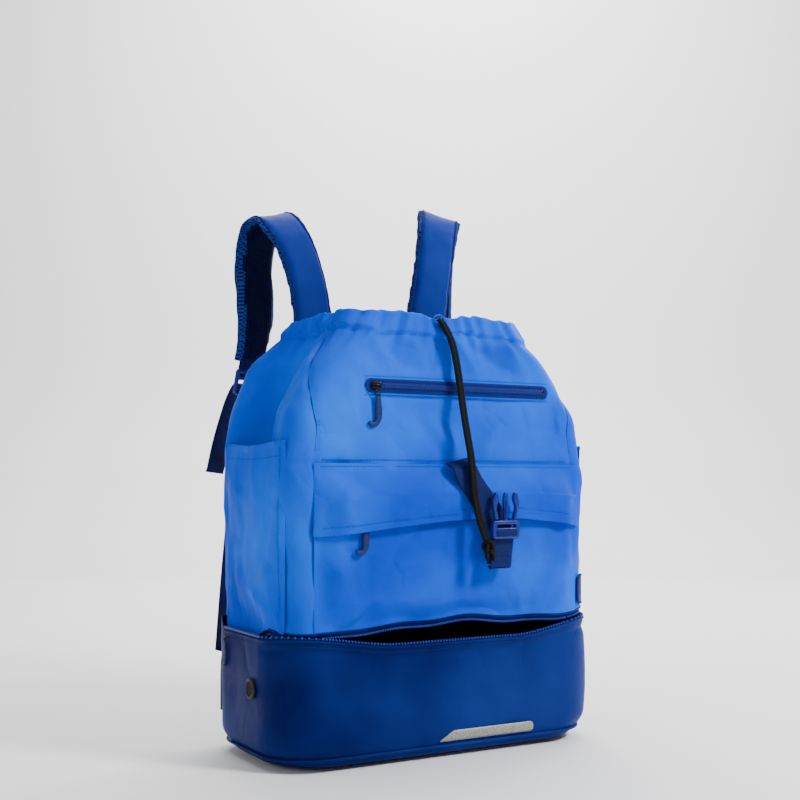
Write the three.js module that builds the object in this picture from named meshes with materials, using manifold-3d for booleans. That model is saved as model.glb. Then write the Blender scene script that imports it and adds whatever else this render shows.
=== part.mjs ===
// Racket backpack: a drawstring bag over a zipped shoe compartment, with padded shoulder straps.
// Millimetres, +Z up. The origin is the middle of the base's underside, the front faces -Y and the
// wearer's side faces +Y. Soft parts are plain shells of the right size, and hardware has its real form.
import * as THREE from 'three';
import { mergeVertices } from 'three/addons/utils/BufferGeometryUtils.js';
import Module from 'manifold-3d';

const wasm = await Module();
wasm.setup();

// ---- driving dimensions -------------------------------------------------------------------------
const GAP = 0.3;                 // clearance between neighbouring solids
const CLOTH = 2.4;               // shell thickness of the coated fabric panels
const TAPE = 1.2;                // zip tape thickness

const BASE_TOP = 119;            // rim of the shoe compartment's tub
const BODY_BOTTOM = 140;         // lower edge of the upper bag
const RIM = 467;                 // top edge of the drawstring mouth
const CENTRE = 15;               // middle of the front and back panels: the filled bag sits off true
const FOLD_INNER = 112;          // how close to the middle the side gussets fold in

// Outline of the bag at a few heights: half width at the front and at the rear, distance of the front
// and of the back from the middle, and corner radius.
const STATIONS = [
  { z: 0, half: 186, rear: 186, front: 91, back: 84, corner: 60 },
  { z: 16, half: 200, rear: 200, front: 99, back: 94, corner: 56 },
  { z: 122, half: 200, rear: 200, front: 99, back: 94, corner: 50 },
  { z: 145, half: 190, rear: 190, front: 94, back: 94, corner: 36 },
  { z: 305, half: 190, rear: 190, front: 95, back: 94, corner: 30 },
  { z: 360, half: 180, rear: 186, front: 92, back: 94, corner: 28 },
  { z: 415, half: 141, rear: 160, front: 86, back: 94, corner: 26 },
  { z: 445, half: 114, rear: 124, front: 80, back: 93, corner: 24 },
  { z: RIM, half: 104, rear: 105, front: 76, back: 92, corner: 24 },
];

const POCKET_TOP = 329;          // side pocket's open edge
const POCKET_WRAP = { left: 34, right: 18 }; // degrees that a side pocket reaches round the front corner
const POCKET_BULGE = { left: 2, right: 8 };

const TOP_ZIP = { z: 386, left: -100, right: 130, height: 14 };
const FRONT_POCKET = { seam: 305, top: 246, bottom: 142, depth: 14, halfWidth: 160 };
const FLAP_EDGE = 234;           // free edge of the storm flap

const STRAP_WIDTH = 62;          // padded shoulder strap
const STRAP_THICK = 13;
const WEBBING_WIDTH = 26;
const WEBBING_THICK = 1.8;
const FRONT_STRAP_WIDTH = 28;
const BUCKLE_X = 50;             // middle of the front buckle
const CORD_DIAMETER = 4.8;

const SLIDER_START = { top: -88, pocket: -110, shoe: 35 };

// ---- materials ----------------------------------------------------------------------------------
const paint = (color, roughness, metalness = 0) =>
  new THREE.MeshStandardMaterial({ color, roughness, metalness });
const AZURE = { color: 0x1673dc, roughness: 0.55 };
const NAVY = { color: 0x1c3c91, roughness: 0.5 };
const STRAP_BLUE = { color: 0x3250b4, roughness: 0.6 };
const MESH_NAVY = { color: 0x12245a, roughness: 0.9 };
const WEBBING = { color: 0x1b2d6e, roughness: 0.8 };
const CORD_BLACK = { color: 0x1e1a14, roughness: 0.85 };
const PLASTIC_BLUE = { color: 0x2b3fae, roughness: 0.35 };
const METAL_BLACK = { color: 0x24242a, roughness: 0.3, metalness: 0.9 };
const REFLECTIVE = { color: 0x8c8c87, roughness: 0.4 };
const FOAM = { color: 0x20242e, roughness: 0.9 };
const BOARD = { color: 0x15181f, roughness: 0.8 };

const pack = new THREE.Group();

function addPart(name, geometry, finish, parent = pack) {
  const mesh = new THREE.Mesh(geometry, paint(finish.color, finish.roughness, finish.metalness));
  mesh.name = name;
  parent.add(mesh);
  return mesh;
}

// ---- geometry helpers ---------------------------------------------------------------------------
const lerp = (a, b, t) => a + (b - a) * t;

function outlineAt(z) {
  const last = STATIONS.length - 1;
  if (z >= STATIONS[last].z) return STATIONS[last];
  const i = STATIONS.findIndex((s, k) => k < last && z < STATIONS[k + 1].z);
  const low = STATIONS[i];
  const high = STATIONS[i + 1];
  const t = (z - low.z) / (high.z - low.z);
  return {
    half: lerp(low.half, high.half, t),
    rear: lerp(low.rear, high.rear, t),
    front: lerp(low.front, high.front, t),
    back: lerp(low.back, high.back, t),
    corner: lerp(low.corner, high.corner, t),
  };
}

// Heights from bottom to top, with every outline station between them.
function levels(bottom, top) {
  const between = STATIONS.map((s) => s.z).filter((z) => z > bottom + 1 && z < top - 1);
  return [bottom, ...between, top];
}

function solidFrom(positions, indices) {
  const geometry = new THREE.BufferGeometry();
  geometry.setAttribute('position', new THREE.Float32BufferAttribute(positions, 3));
  geometry.setIndex(indices);
  let volume = 0;
  const p = (k) => new THREE.Vector3().fromArray(positions, 3 * k);
  for (let i = 0; i < indices.length; i += 3) {
    volume += p(indices[i]).dot(p(indices[i + 1]).cross(p(indices[i + 2])));
  }
  if (volume < 0) {
    for (let i = 0; i < indices.length; i += 3) {
      [indices[i + 1], indices[i + 2]] = [indices[i + 2], indices[i + 1]];
    }
    geometry.setIndex(indices);
  }
  geometry.computeVertexNormals();
  return geometry;
}

// A closed solid from rings of equal length, capped at both ends by a fan round the ring's middle.
function loft(rings) {
  const positions = [];
  const indices = [];
  const n = rings[0].length;
  rings.forEach((ring) => ring.forEach((v) => positions.push(v.x, v.y, v.z)));
  for (let r = 0; r + 1 < rings.length; r += 1) {
    for (let k = 0; k < n; k += 1) {
      const a = r * n + k;
      const b = r * n + ((k + 1) % n);
      indices.push(a, b, a + n, b, b + n, a + n);
    }
  }
  [0, rings.length - 1].forEach((r, end) => {
    const middle = new THREE.Vector3();
    rings[r].forEach((v) => middle.addScaledVector(v, 1 / n));
    const centre = positions.length / 3;
    positions.push(middle.x, middle.y, middle.z);
    for (let k = 0; k < n; k += 1) {
      const a = r * n + k;
      const b = r * n + ((k + 1) % n);
      if (end === 0) indices.push(b, a, centre);
      else indices.push(a, b, centre);
    }
  });
  return solidFrom(positions, indices);
}

// A thin shell: rows of outer points and matching inner points, closed round its four edges.
function shell(outer, inner) {
  const positions = [];
  const indices = [];
  const rows = outer.length;
  const cols = outer[0].length;
  [outer, inner].forEach((grid) => grid.forEach((row) => row.forEach((v) => positions.push(v.x, v.y, v.z))));
  const at = (side, r, c) => side * rows * cols + r * cols + c;
  const quad = (a, b, c, d) => indices.push(a, b, c, a, c, d);
  for (let r = 0; r + 1 < rows; r += 1) {
    for (let c = 0; c + 1 < cols; c += 1) {
      quad(at(0, r, c), at(0, r, c + 1), at(0, r + 1, c + 1), at(0, r + 1, c));
      quad(at(1, r, c), at(1, r + 1, c), at(1, r + 1, c + 1), at(1, r, c + 1));
    }
    quad(at(0, r, 0), at(0, r + 1, 0), at(1, r + 1, 0), at(1, r, 0));
    quad(at(0, r, cols - 1), at(1, r, cols - 1), at(1, r + 1, cols - 1), at(0, r + 1, cols - 1));
  }
  for (let c = 0; c + 1 < cols; c += 1) {
    quad(at(0, 0, c), at(1, 0, c), at(1, 0, c + 1), at(0, 0, c + 1));
    quad(at(0, rows - 1, c), at(0, rows - 1, c + 1), at(1, rows - 1, c + 1), at(1, rows - 1, c));
  }
  return solidFrom(positions, indices);
}

// A wall that follows a plan outline at each height. The outline runs so that outside is on its right.
function wall(path, heights, outset, thickness) {
  const offsetRow = (z, distance) => {
    const plan = path(z);
    return plan.map(([x, y], k) => {
      const [px, py] = plan[Math.max(k - 1, 0)];
      const [nx, ny] = plan[Math.min(k + 1, plan.length - 1)];
      const before = new THREE.Vector2(x - px, y - py).normalize();
      const after = new THREE.Vector2(nx - x, ny - y).normalize();
      const along = before.clone().add(after).normalize();
      const mitre = Math.max(along.dot(after.length() > 0 ? after : before), 0.5);
      const out = new THREE.Vector2(along.y, -along.x).multiplyScalar(distance / mitre);
      return new THREE.Vector3(x + out.x, y + out.y, z);
    });
  };
  const outer = heights.map((z) => offsetRow(z, outset));
  const inner = heights.map((z) => offsetRow(z, outset - thickness));
  return shell(outer, inner);
}

function arc(cx, cy, radius, from, to, steps) {
  const points = [];
  for (let k = 0; k <= steps; k += 1) {
    const angle = THREE.MathUtils.degToRad(lerp(from, to, k / steps));
    points.push([cx + radius * Math.cos(angle), cy + radius * Math.sin(angle)]);
  }
  return points;
}

// A band of constant section swept along a smooth curve, its width lying along widthAxis.
function sweep(points, section, widthAxis, steps) {
  const curve = new THREE.CatmullRomCurve3(points.map((p) => new THREE.Vector3(...p)), false, 'centripetal');
  const rings = [];
  for (let k = 0; k <= steps; k += 1) {
    const t = k / steps;
    const centre = curve.getPointAt(t);
    const tangent = curve.getTangentAt(t);
    const axis = typeof widthAxis === 'function' ? widthAxis(t) : widthAxis;
    const normal = new THREE.Vector3().crossVectors(tangent, axis).normalize();
    const across = new THREE.Vector3().crossVectors(normal, tangent).normalize();
    rings.push(section(t).map(([w, h]) => centre.clone()
      .addScaledVector(across, w)
      .addScaledVector(normal, h)));
  }
  return loft(rings);
}

// Flat band section with bevelled long edges.
function bandSection(width, thickness, bevel = Math.min(thickness / 3, width / 8)) {
  const w = width / 2;
  const h = thickness / 2;
  return [[-w + bevel, -h], [w - bevel, -h], [w, -h + bevel], [w, h - bevel],
    [w - bevel, h], [-w + bevel, h], [-w, h - bevel], [-w, -h + bevel]];
}

function roundSection(radius, sides) {
  return Array.from({ length: sides }, (_, k) => {
    const angle = (2 * Math.PI * k) / sides;
    return [radius * Math.cos(angle), radius * Math.sin(angle)];
  });
}

// Extrudes a THREE.Shape by depth and merges its vertices.
function extrude(shape, depth, curveSegments = 6) {
  const geometry = new THREE.ExtrudeGeometry(shape, { depth, bevelEnabled: false, curveSegments });
  return cleaned(geometry);
}

function cleaned(geometry) {
  geometry.deleteAttribute('normal');
  geometry.deleteAttribute('uv');
  return mergeVertices(geometry, 1e-4);
}

function box(width, depth, height, x = 0, y = 0, z = 0) {
  return cleaned(new THREE.BoxGeometry(width, depth, height)).translate(x, y, z);
}

function roundedRectangle(width, height, radius) {
  const w = width / 2;
  const h = height / 2;
  const shape = new THREE.Shape();
  shape.moveTo(-w + radius, -h);
  shape.lineTo(w - radius, -h);
  shape.absarc(w - radius, -h + radius, radius, -Math.PI / 2, 0);
  shape.lineTo(w, h - radius);
  shape.absarc(w - radius, h - radius, radius, 0, Math.PI / 2);
  shape.lineTo(-w + radius, h);
  shape.absarc(-w + radius, h - radius, radius, Math.PI / 2, Math.PI);
  shape.lineTo(-w, -h + radius);
  shape.absarc(-w + radius, -h + radius, radius, Math.PI, Math.PI * 1.5);
  return shape;
}

// Plates drawn in the plane of the bag's front: shape x to +X, shape y to +Z, depth to -Y.
function frontPlate(shape, depth, x, y, z, curveSegments = 6) {
  return extrude(shape, depth, curveSegments).rotateX(Math.PI / 2).translate(x, y, z);
}

function toManifold(geometry) {
  const merged = cleaned(geometry.clone());
  return new wasm.Manifold(new wasm.Mesh({
    numProp: 3,
    vertProperties: merged.attributes.position.array,
    triVerts: new Uint32Array(merged.index.array),
  }));
}

function combine(operation, first, ...others) {
  const result = others.reduce((sum, item) => sum[operation](toManifold(item)), toManifold(first));
  const mesh = result.getMesh();
  const geometry = new THREE.BufferGeometry();
  geometry.setAttribute('position', new THREE.BufferAttribute(Float32Array.from(mesh.vertProperties), 3));
  geometry.setIndex(Array.from(mesh.triVerts));
  return cleaned(geometry);
}
const union = (...items) => combine('add', ...items);
const subtract = (...items) => combine('subtract', ...items);


// ---- plan outlines ------------------------------------------------------------------------------
const SEAM_GAP = 0.9;           // clearance between panels that meet at a corner seam

const frontPath = (z) => {
  const { half, front, corner } = outlineAt(z);
  const reach = half - corner - SEAM_GAP;
  return [[-reach, -front], [0, -front], [reach, -front]];
};

const backPath = (z) => {
  const { rear, back, corner } = outlineAt(z);
  const reach = rear - corner - SEAM_GAP;
  return [[reach, back], [-reach, back]];
};

// Side gusset: a front corner, a deep fold towards the middle behind the pocket, and a rear corner.
function gussetPath(side, folded = 1) {
  return (z) => {
    const { half, rear, front, back, corner } = outlineAt(z);
    const foldRun = 14;
    const inner = lerp(Math.min(half, rear), Math.min(FOLD_INNER, half - 8), folded);
    const points = [
      ...arc(half - corner, -front + corner, corner, -90, 0, 4),
      [inner, -front + corner + foldRun],
      [inner, back - corner - foldRun],
      ...arc(rear - corner, back - corner, corner, 0, 90, 4),
    ];
    return side > 0 ? points : points.map(([x, y]) => [-x, y]).reverse();
  };
}

// ---- shoe compartment (base) --------------------------------------------------------------------
const FLOOR_THICK = 4;

function floorShape(inset) {
  const { half, front, back, corner } = outlineAt(0);
  const shape = roundedRectangle(2 * (half - inset), front + back - 2 * inset, corner - inset);
  return { shape, centreY: (back - front) / 2 };
}

function buildBase() {
  const floor = floorShape(0);
  addPart('base_floor', extrude(floor.shape, FLOOR_THICK, 5).translate(0, floor.centreY, 0), NAVY);
  const board = floorShape(8);
  const boardZ = FLOOR_THICK + GAP;
  addPart('base_board', extrude(board.shape, 2, 5).translate(0, board.centreY, boardZ), BOARD);

  const bottom = FLOOR_THICK + GAP;
  const heights = levels(bottom, BASE_TOP);
  const cornerEnd = (z) => -outlineAt(z).front + outlineAt(z).corner;
  const frontWrap = (z) => {
    const { half, front, corner } = outlineAt(z);
    return [
      ...arc(-(half - corner), -front + corner, corner, 180, 270, 4),
      ...arc(half - corner, -front + corner, corner, -90, 0, 4),
    ];
  };
  addPart('base_front_panel', wall(frontWrap, heights, 0, CLOTH), NAVY);
  [['left', -1], ['right', 1]].forEach(([name, side]) => {
    const path = (z) => {
      const { half, rear, back, corner } = outlineAt(z);
      const points = [
        [half, cornerEnd(z) + SEAM_GAP],
        ...arc(rear - corner, back - corner, corner, 0, 88, 4),
      ];
      return side > 0 ? points : points.map(([x, y]) => [-x, y]).reverse();
    };
    addPart(`base_${name}_panel`, wall(path, heights, 0, CLOTH), NAVY);
  });

  // Mesh vent eyelets: a flanged ring closed by a mesh disc.
  [['left', -1], ['right', 1]].forEach(([name, side]) => {
    const eyelet = cleaned(new THREE.LatheGeometry([
      new THREE.Vector2(0, 0), new THREE.Vector2(11, 0), new THREE.Vector2(10.4, 1.6),
      new THREE.Vector2(8.2, 2), new THREE.Vector2(7.6, 1.2), new THREE.Vector2(0, 1),
    ], 20));
    eyelet.rotateZ(-side * Math.PI / 2);
    eyelet.translate(side * (outlineAt(60).half + 2 * GAP), -33, 76);
    addPart(`${name}_vent_eyelet`, eyelet, METAL_BLACK);
  });

  // Reflective strip along the lower front edge.
  const strip = (z) => {
    const y = -outlineAt(z).front;
    const taper = z > 10 ? 13 : 0;
    return [[-16 + taper, y], [106 - taper / 4, y]];
  };
  addPart('reflector_strip', wall(strip, [5.5, 15], 0.6 + GAP, 0.6), REFLECTIVE);
}

// ---- upper bag ----------------------------------------------------------------------------------
function buildBody() {
  const heights = levels(BODY_BOTTOM, RIM);
  addPart('front_panel', wall(frontPath, heights, 0, CLOTH), AZURE);
  addPart('right_side_panel', wall(gussetPath(1), heights, 0, CLOTH), AZURE);
  addPart('left_side_panel', wall(gussetPath(-1), heights, 0, CLOTH), AZURE);
  addPart('back_panel', wall(backPath, levels(FLOOR_THICK + GAP, RIM), 0, CLOTH), AZURE);

  const sheet = roundedRectangle(176, 290, 20);
  addPart('frame_sheet', frontPlate(sheet, 1.6, CENTRE / 2, outlineAt(RIM).back - CLOTH - GAP, 295), BOARD);

  const floor = roundedRectangle(366, 168, 26);
  addPart('main_floor', extrude(floor, CLOTH, 5).translate(0, 0, BODY_BOTTOM - CLOTH - GAP), FOAM);

  // Drawstring casing: the folded hem, standing just outside the panels all round the mouth.
  const hemOutset = 2.6;
  const hemPaths = {
    front: (z) => frontPath(z),
    right: (z) => gussetPath(1, 0)(z),
    back: (z) => backPath(z),
    left: (z) => gussetPath(-1, 0)(z),
  };
  Object.entries(hemPaths).forEach(([name, path]) => {
    addPart(`drawstring_casing_${name}`, wall(path, [RIM - 21, RIM - 1], hemOutset, hemOutset - GAP), AZURE);
  });
}

function buildSidePockets() {
  [['left', -1], ['right', 1]].forEach(([name, side]) => {
    const path = (z) => {
      const { half, rear, front, back, corner } = outlineAt(Math.min(z, 305));
      const points = [
        ...arc(half - corner, -front + corner, corner, -POCKET_WRAP[name], 0, 3),
        [half + POCKET_BULGE[name], 0],
        [rear, back - corner],
      ];
      return side > 0 ? points : points.map(([x, y]) => [-x, y]).reverse();
    };
    addPart(`${name}_side_pocket`, wall(path, [BODY_BOTTOM, 150, 305, POCKET_TOP], 2.7, 2.2), AZURE);
  });
}

// ---- zips ---------------------------------------------------------------------------------------
// A strip lying on the bag's front between two X values, following the panel's lean.
function frontStrip(left, right, bottom, top, outset, thickness) {
  const path = (z) => [[left, -outlineAt(z).front], [right, -outlineAt(z).front]];
  return wall(path, [bottom, top], outset, thickness);
}

const PULLER = { width: 8, length: 32, thick: 2.4 };

// Moulded J-shaped puller tab, hanging from its own origin.
function pullerTab() {
  const shape = new THREE.Shape();
  const w = PULLER.width / 2;
  const end = -PULLER.length;
  shape.moveTo(-w * 0.6, 0);
  shape.lineTo(w * 0.6, 0);
  shape.lineTo(w, -6);
  shape.lineTo(w, end + 7);
  shape.absarc(w - 7, end + 7, 7, 0, -Math.PI * 0.6, true);
  shape.lineTo(-w - 2, end + 6);
  shape.absarc(-w - 2 + 3.4, end + 9.6, 1.6, -Math.PI * 0.7, 0, false);
  shape.lineTo(-w, -6);
  return extrude(shape, PULLER.thick, 5).rotateX(Math.PI / 2);
}

function sliderBody(width, height, depth) {
  const body = roundedRectangle(width, height, 2);
  const bridge = box(width * 0.7, 1.4, 2.4, 0, -depth - 0.6, 0);
  return union(frontPlate(body, depth, 0, 0, 0), bridge);
}

function buildTopZip() {
  const { z, left, right, height } = TOP_ZIP;
  const y = -outlineAt(z).front;
  addPart('top_zip_tape', frontStrip(left, right, z - height / 2, z + height / 2, GAP + TAPE, TAPE), NAVY);
  const coil = box(right - left - 16, 1.2, 3.2, (left + right) / 2, y - TAPE - 2 * GAP - 0.75, z);
  addPart('top_zip_coil', coil, NAVY);
  const coilFace = y - TAPE - 2 * GAP - 1.35;
  const slider = sliderBody(11, 8, 1.9).translate(SLIDER_START.top, coilFace - GAP, z);
  addPart('top_slider', slider, METAL_BLACK);
  const pivotY = coilFace - GAP - 1.3;
  const ring = cleaned(new THREE.TorusGeometry(3.4, 0.7, 6, 16)).rotateY(Math.PI / 2).rotateZ(Math.PI / 2);
  ring.translate(SLIDER_START.top, pivotY - 1.9, z - 8);
  addPart('top_pull_ring', ring, METAL_BLACK);
  const tab = pullerTab().translate(SLIDER_START.top, pivotY - 0.7, z - 12.4);
  addPart('top_puller', tab, NAVY);
}

function buildFrontPocket() {
  const { seam, top, bottom, depth, halfWidth } = FRONT_POCKET;
  const face = outlineAt(200).front + depth;
  const trayPath = (z) => {
    const base = -outlineAt(z).front - 2 - 2 * GAP;
    const bend = halfWidth - 12;
    return [[-halfWidth, base], [-bend, -face], [0, -face], [bend, -face], [halfWidth, base]];
  };
  addPart('front_pocket_panel', wall(trayPath, [bottom, 160, top], 0, 2), AZURE);
  addPart('front_pocket_zip', box(296, TAPE, 13, 0, -face + TAPE, top + GAP + 6.6), NAVY);

  // Storm flap: sewn along the seam, bellied out over the pocket's zip.
  const outer = [[-outlineAt(seam).front - 2.4, seam], [-face + 1, seam - 12], [-face - 5, seam - 26],
    [-face - 5.6, FLAP_EDGE]];
  const flapRow = ([y, z], shift) => [-halfWidth, 0, halfWidth]
    .map((x) => new THREE.Vector3(x, y + shift, z));
  addPart('storm_flap', shell(outer.map((p) => flapRow(p, 0)), outer.map((p) => flapRow(p, 2))), AZURE);

  const sliderZ = top + GAP + 7;
  const slider = sliderBody(10, 7, 1.3).translate(SLIDER_START.pocket, -face + TAPE / 2 - GAP, sliderZ);
  addPart('pocket_slider', slider, METAL_BLACK);
  const tab = pullerTab().translate(SLIDER_START.pocket, -face - GAP, sliderZ - 7);
  addPart('pocket_puller', tab, NAVY);
}

// Zip tapes of the shoe compartment, running round both sides and the front.
function buildShoeZip() {
  const path = (z) => {
    const { half, front, back, corner } = outlineAt(z);
    return [
      [-half, back - corner - 4],
      ...arc(-(half - corner), -front + corner, corner, 180, 270, 4),
      ...arc(half - corner, -front + corner, corner, -90, 0, 4),
      [half, back - corner - 4],
    ];
  };
  const inset = -CLOTH - GAP;
  addPart('shoe_zip_lower_tape', wall(path, [BASE_TOP - 12, BASE_TOP + 3], inset, TAPE), NAVY);
  addPart('shoe_zip_upper_tape', wall(path, [BODY_BOTTOM - 5, BODY_BOTTOM - GAP], -GAP, TAPE), NAVY);

  const half = outlineAt(BASE_TOP).half;
  const saddle = new THREE.Shape([[half, BASE_TOP + 0.6], [half, BASE_TOP + 6], [half - 8.5, BASE_TOP + 6],
    [half - 8.5, BASE_TOP - 2], [half - CLOTH - TAPE - 3 * GAP, BASE_TOP - 2],
    [half - CLOTH - TAPE - 3 * GAP, BASE_TOP + 3.6], [half - CLOTH + GAP, BASE_TOP + 3.6],
    [half - CLOTH + GAP, BASE_TOP + 0.6]].map(([x, z]) => new THREE.Vector2(-x, z)));
  const length = 12;
  const slider = frontPlate(saddle, length, 0, SLIDER_START.shoe + length / 2, 0);
  addPart('shoe_slider', slider, METAL_BLACK);
  const tab = pullerTab().rotateZ(-Math.PI / 2).translate(-half - 0.8, SLIDER_START.shoe, BASE_TOP + 2);
  addPart('shoe_puller', tab, NAVY);
}

// ---- front strap and buckle ---------------------------------------------------------------------
const FRONT_STRAP_Y = -117;

function buildFrontStrap() {
  const centre = [[5, 302], [9, 288], [28, 268], [45, 244], [47, 222], [46, 197]];
  const path = centre.map(([x, z]) => [x, FRONT_STRAP_Y, z]);
  const band = sweep(path, () => bandSection(FRONT_STRAP_WIDTH, 2), new THREE.Vector3(1, 0, 0.25), 14);
  const foldFace = new THREE.Shape();
  const foldY = 2.6;
  foldFace.moveTo(0.9, 12);
  foldFace.lineTo(0.9, 0);
  foldFace.absarc(foldY, 0, foldY - 0.9, Math.PI, 2 * Math.PI, false);
  foldFace.lineTo(2 * foldY - 0.9, 24);
  foldFace.lineTo(2 * foldY + 0.9, 24);
  foldFace.lineTo(2 * foldY + 0.9, 0);
  foldFace.absarc(foldY, 0, foldY + 0.9, 2 * Math.PI, Math.PI, true);
  foldFace.lineTo(-0.9, 12);
  const fold = extrude(foldFace, FRONT_STRAP_WIDTH - 2, 6)
    .rotateX(Math.PI / 2).rotateZ(-Math.PI / 2)
    .translate(46 - FRONT_STRAP_WIDTH / 2 + 1, FRONT_STRAP_Y, 199);
  addPart('front_strap', union(band, fold), NAVY);
}

const ARM_PLAY = 0.8;            // room for a sprung arm to turn at its root
const MALE = { y: -121.5, thick: 6, width: 34, bottom: 227, barTop: 246, tip: 276 };

function buildMaleBuckle() {
  const { y, thick, width, bottom, barTop, tip } = MALE;
  const frame = roundedRectangle(width, barTop - bottom, 3);
  [-3.2, 4.6].forEach((offset) => {
    const slot = new THREE.Path();
    slot.moveTo(-11.5, offset - 1.8);
    slot.lineTo(-11.5, offset + 1.8);
    slot.lineTo(11.5, offset + 1.8);
    slot.lineTo(11.5, offset - 1.8);
    frame.holes.push(slot);
  });
  const middle = (bottom + barTop) / 2;
  const bars = frontPlate(frame, thick, BUCKLE_X, y, middle, 4);
  const blade = box(5, 3, tip - barTop + 1, BUCKLE_X, y - thick / 2, (tip + barTop) / 2 - 1);
  addPart('male_buckle', union(bars, blade), PLASTIC_BLUE);

  [['left', -1], ['right', 1]].forEach(([name, side]) => {
    const arm = new THREE.Shape();
    arm.moveTo(side * 9, 0);
    arm.lineTo(side * 14, 0);
    arm.lineTo(side * 15.5, 9);
    arm.lineTo(side * 15.5, 20);
    arm.lineTo(side * 12, 29);
    arm.lineTo(side * 9.5, 29);
    arm.lineTo(side * 9.5, 20);
    arm.lineTo(side * 11.5, 17);
    const geometry = frontPlate(arm, thick - 1.2, BUCKLE_X, y - 0.6, barTop + ARM_PLAY);
    addPart(`male_buckle_arm_${name}`, geometry, PLASTIC_BLUE);
  });
}

// ---- closure strap inside the mouth, with the buckle's socket half --------------------------------
const CLOSURE = { y: 82, top: 456, end: 348, width: 28, play: 2.5 };

function buildClosure() {
  const { y, top, end, width, play } = CLOSURE;
  const strap = sweep([[CENTRE, y, top], [CENTRE, y - 1.5, (top + end) / 2], [CENTRE, y, end]],
    () => bandSection(width, 1.8), new THREE.Vector3(1, 0, 0), 6);
  addPart('closure_strap', strap, WEBBING);
  const socketTop = end - play;
  const length = 42;
  const outer = frontPlate(roundedRectangle(36, length, 6), 10, CENTRE, y + 5, socketTop - length / 2);
  const hollow = box(26, 5.4, 30, CENTRE, y, socketTop - length + 14);
  const window = box(60, 5.4, 12, CENTRE, y, socketTop - length + 20);
  const slot = box(29, 30, 3, CENTRE, y, socketTop - 5);
  addPart('female_buckle', subtract(outer, hollow, window, slot), PLASTIC_BLUE);
}

// ---- back, handle and shoulder straps --------------------------------------------------------------
function buildBack() {
  const face = outlineAt(200).back + GAP;
  const pads = [['upper_back_pad', 336, 124, 190], ['lower_back_pad', 205, 124, 210]];
  pads.forEach(([name, z, height, width]) => {
    const low = roundedRectangle(width, height, 22);
    const padBase = extrude(low, 5, 4);
    addPart(name, padBase.rotateX(Math.PI / 2).translate(CENTRE, face + 5, z), MESH_NAVY);
  });
  addPart('strap_yoke', frontPlate(roundedRectangle(226, 36, 8), 3, CENTRE, face + 3, 423), NAVY);

  const loopY = face + 16.2;
  const arch = [[-34, 438], [-33, 424], [-20, 408], [0, 402], [20, 408], [33, 424], [34, 438]];
  const route = arch.map(([x, z]) => [CENTRE + x, loopY, z]);
  const loop = sweep(route, () => bandSection(20, 2.4), new THREE.Vector3(0, 1, 0), 16);
  addPart('hang_loop', loop, WEBBING);
}

// Middle line of a shoulder strap's pad: distance from CENTRE, Y and Z.
const STRAP_PATH = [
  [77.5, 106, 424], [78, 107, 455], [82, 108, 498], [90, 112, 538], [102, 122, 576], [115, 140, 599],
  [124, 159, 588], [127, 170, 550], [125, 172, 506], [126, 173, 468], [130, 178, 430],
];
const STRAP_LIFT = { left: 0, right: 24 }; // how much higher the pad's crown stands
const LADDER = { x: 132, y: 184, z: 408 };
const ANCHOR = { x: 180, y: 103, top: 100 };
const PAD_YAW = 18;              // degrees that the pad has turned at its lower end

function strapWidthAt(t) {
  return STRAP_WIDTH - 14 * Math.max(0, (t - 0.8) / 0.2);
}

function buildShoulderStrap(name, side) {
  const yawed = (degrees) => new THREE.Vector3(1, 0, 0)
    .applyAxisAngle(new THREE.Vector3(0, 0, 1), -side * THREE.MathUtils.degToRad(degrees));
  const across = yawed(PAD_YAW);
  const placed = (points) => points.map(([out, y, z]) => [CENTRE + side * out, y, z]);
  const rise = (k) => STRAP_LIFT[name] * Math.sin((Math.PI * k) / (STRAP_PATH.length - 1));
  const pad = placed(STRAP_PATH).map(([x, y, z], k) => [x, y, z + rise(k)]);
  addPart(`${name}_strap_pad`,
    sweep(pad, (t) => bandSection(strapWidthAt(t), STRAP_THICK, 4),
      (t) => yawed(PAD_YAW * t), 20),
    STRAP_BLUE);

  const ladder = roundedRectangle(34, 30, 4);
  [-8, 0.5, 8.5].forEach((offset) => {
    const slot = new THREE.Path();
    slot.moveTo(-13, offset - 2);
    slot.lineTo(-13, offset + 2);
    slot.lineTo(13, offset + 2);
    slot.lineTo(13, offset - 2);
    ladder.holes.push(slot);
  });
  const lock = frontPlate(ladder, 5, 0, 2.5, 0).rotateX(THREE.MathUtils.degToRad(14));
  lock.rotateZ(-side * THREE.MathUtils.degToRad(PAD_YAW));
  lock.translate(CENTRE + side * LADDER.x, LADDER.y, LADDER.z);
  addPart(`${name}_ladder_lock`, lock, PLASTIC_BLUE);

  const tail = placed([[136, 196, 411], [142, 205, 385], [152, 211, 345], [162, 211, 300]]);
  addPart(`${name}_strap_tail`,
    sweep(tail, () => bandSection(WEBBING_WIDTH, WEBBING_THICK), across, 8), WEBBING);

  const foot = ANCHOR.x - 4 - side * CENTRE;
  const webbing = placed([0, 1, 2, 3, 4].map((k) => {
    const t = k / 4;
    return [lerp(134, foot, t), lerp(176, 107, t) + 6 * Math.sin(Math.PI * t), lerp(372, ANCHOR.top + 2, t)];
  }));
  addPart(`${name}_webbing`,
    sweep(webbing, () => bandSection(WEBBING_WIDTH, WEBBING_THICK), across, 10), WEBBING);

  const tab = new THREE.Shape();
  tab.moveTo(-15, 0);
  tab.lineTo(15, 0);
  tab.lineTo(15, 44);
  tab.lineTo(10, 62);
  tab.lineTo(-10, 62);
  tab.lineTo(-15, 44);
  const anchor = frontPlate(tab, 3, 0, 0, 0);
  anchor.rotateZ(side * THREE.MathUtils.degToRad(-38));
  anchor.translate(side * (ANCHOR.x - 4), ANCHOR.y - 4, 36);
  addPart(`${name}_anchor_tab`, anchor, NAVY);
}

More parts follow.
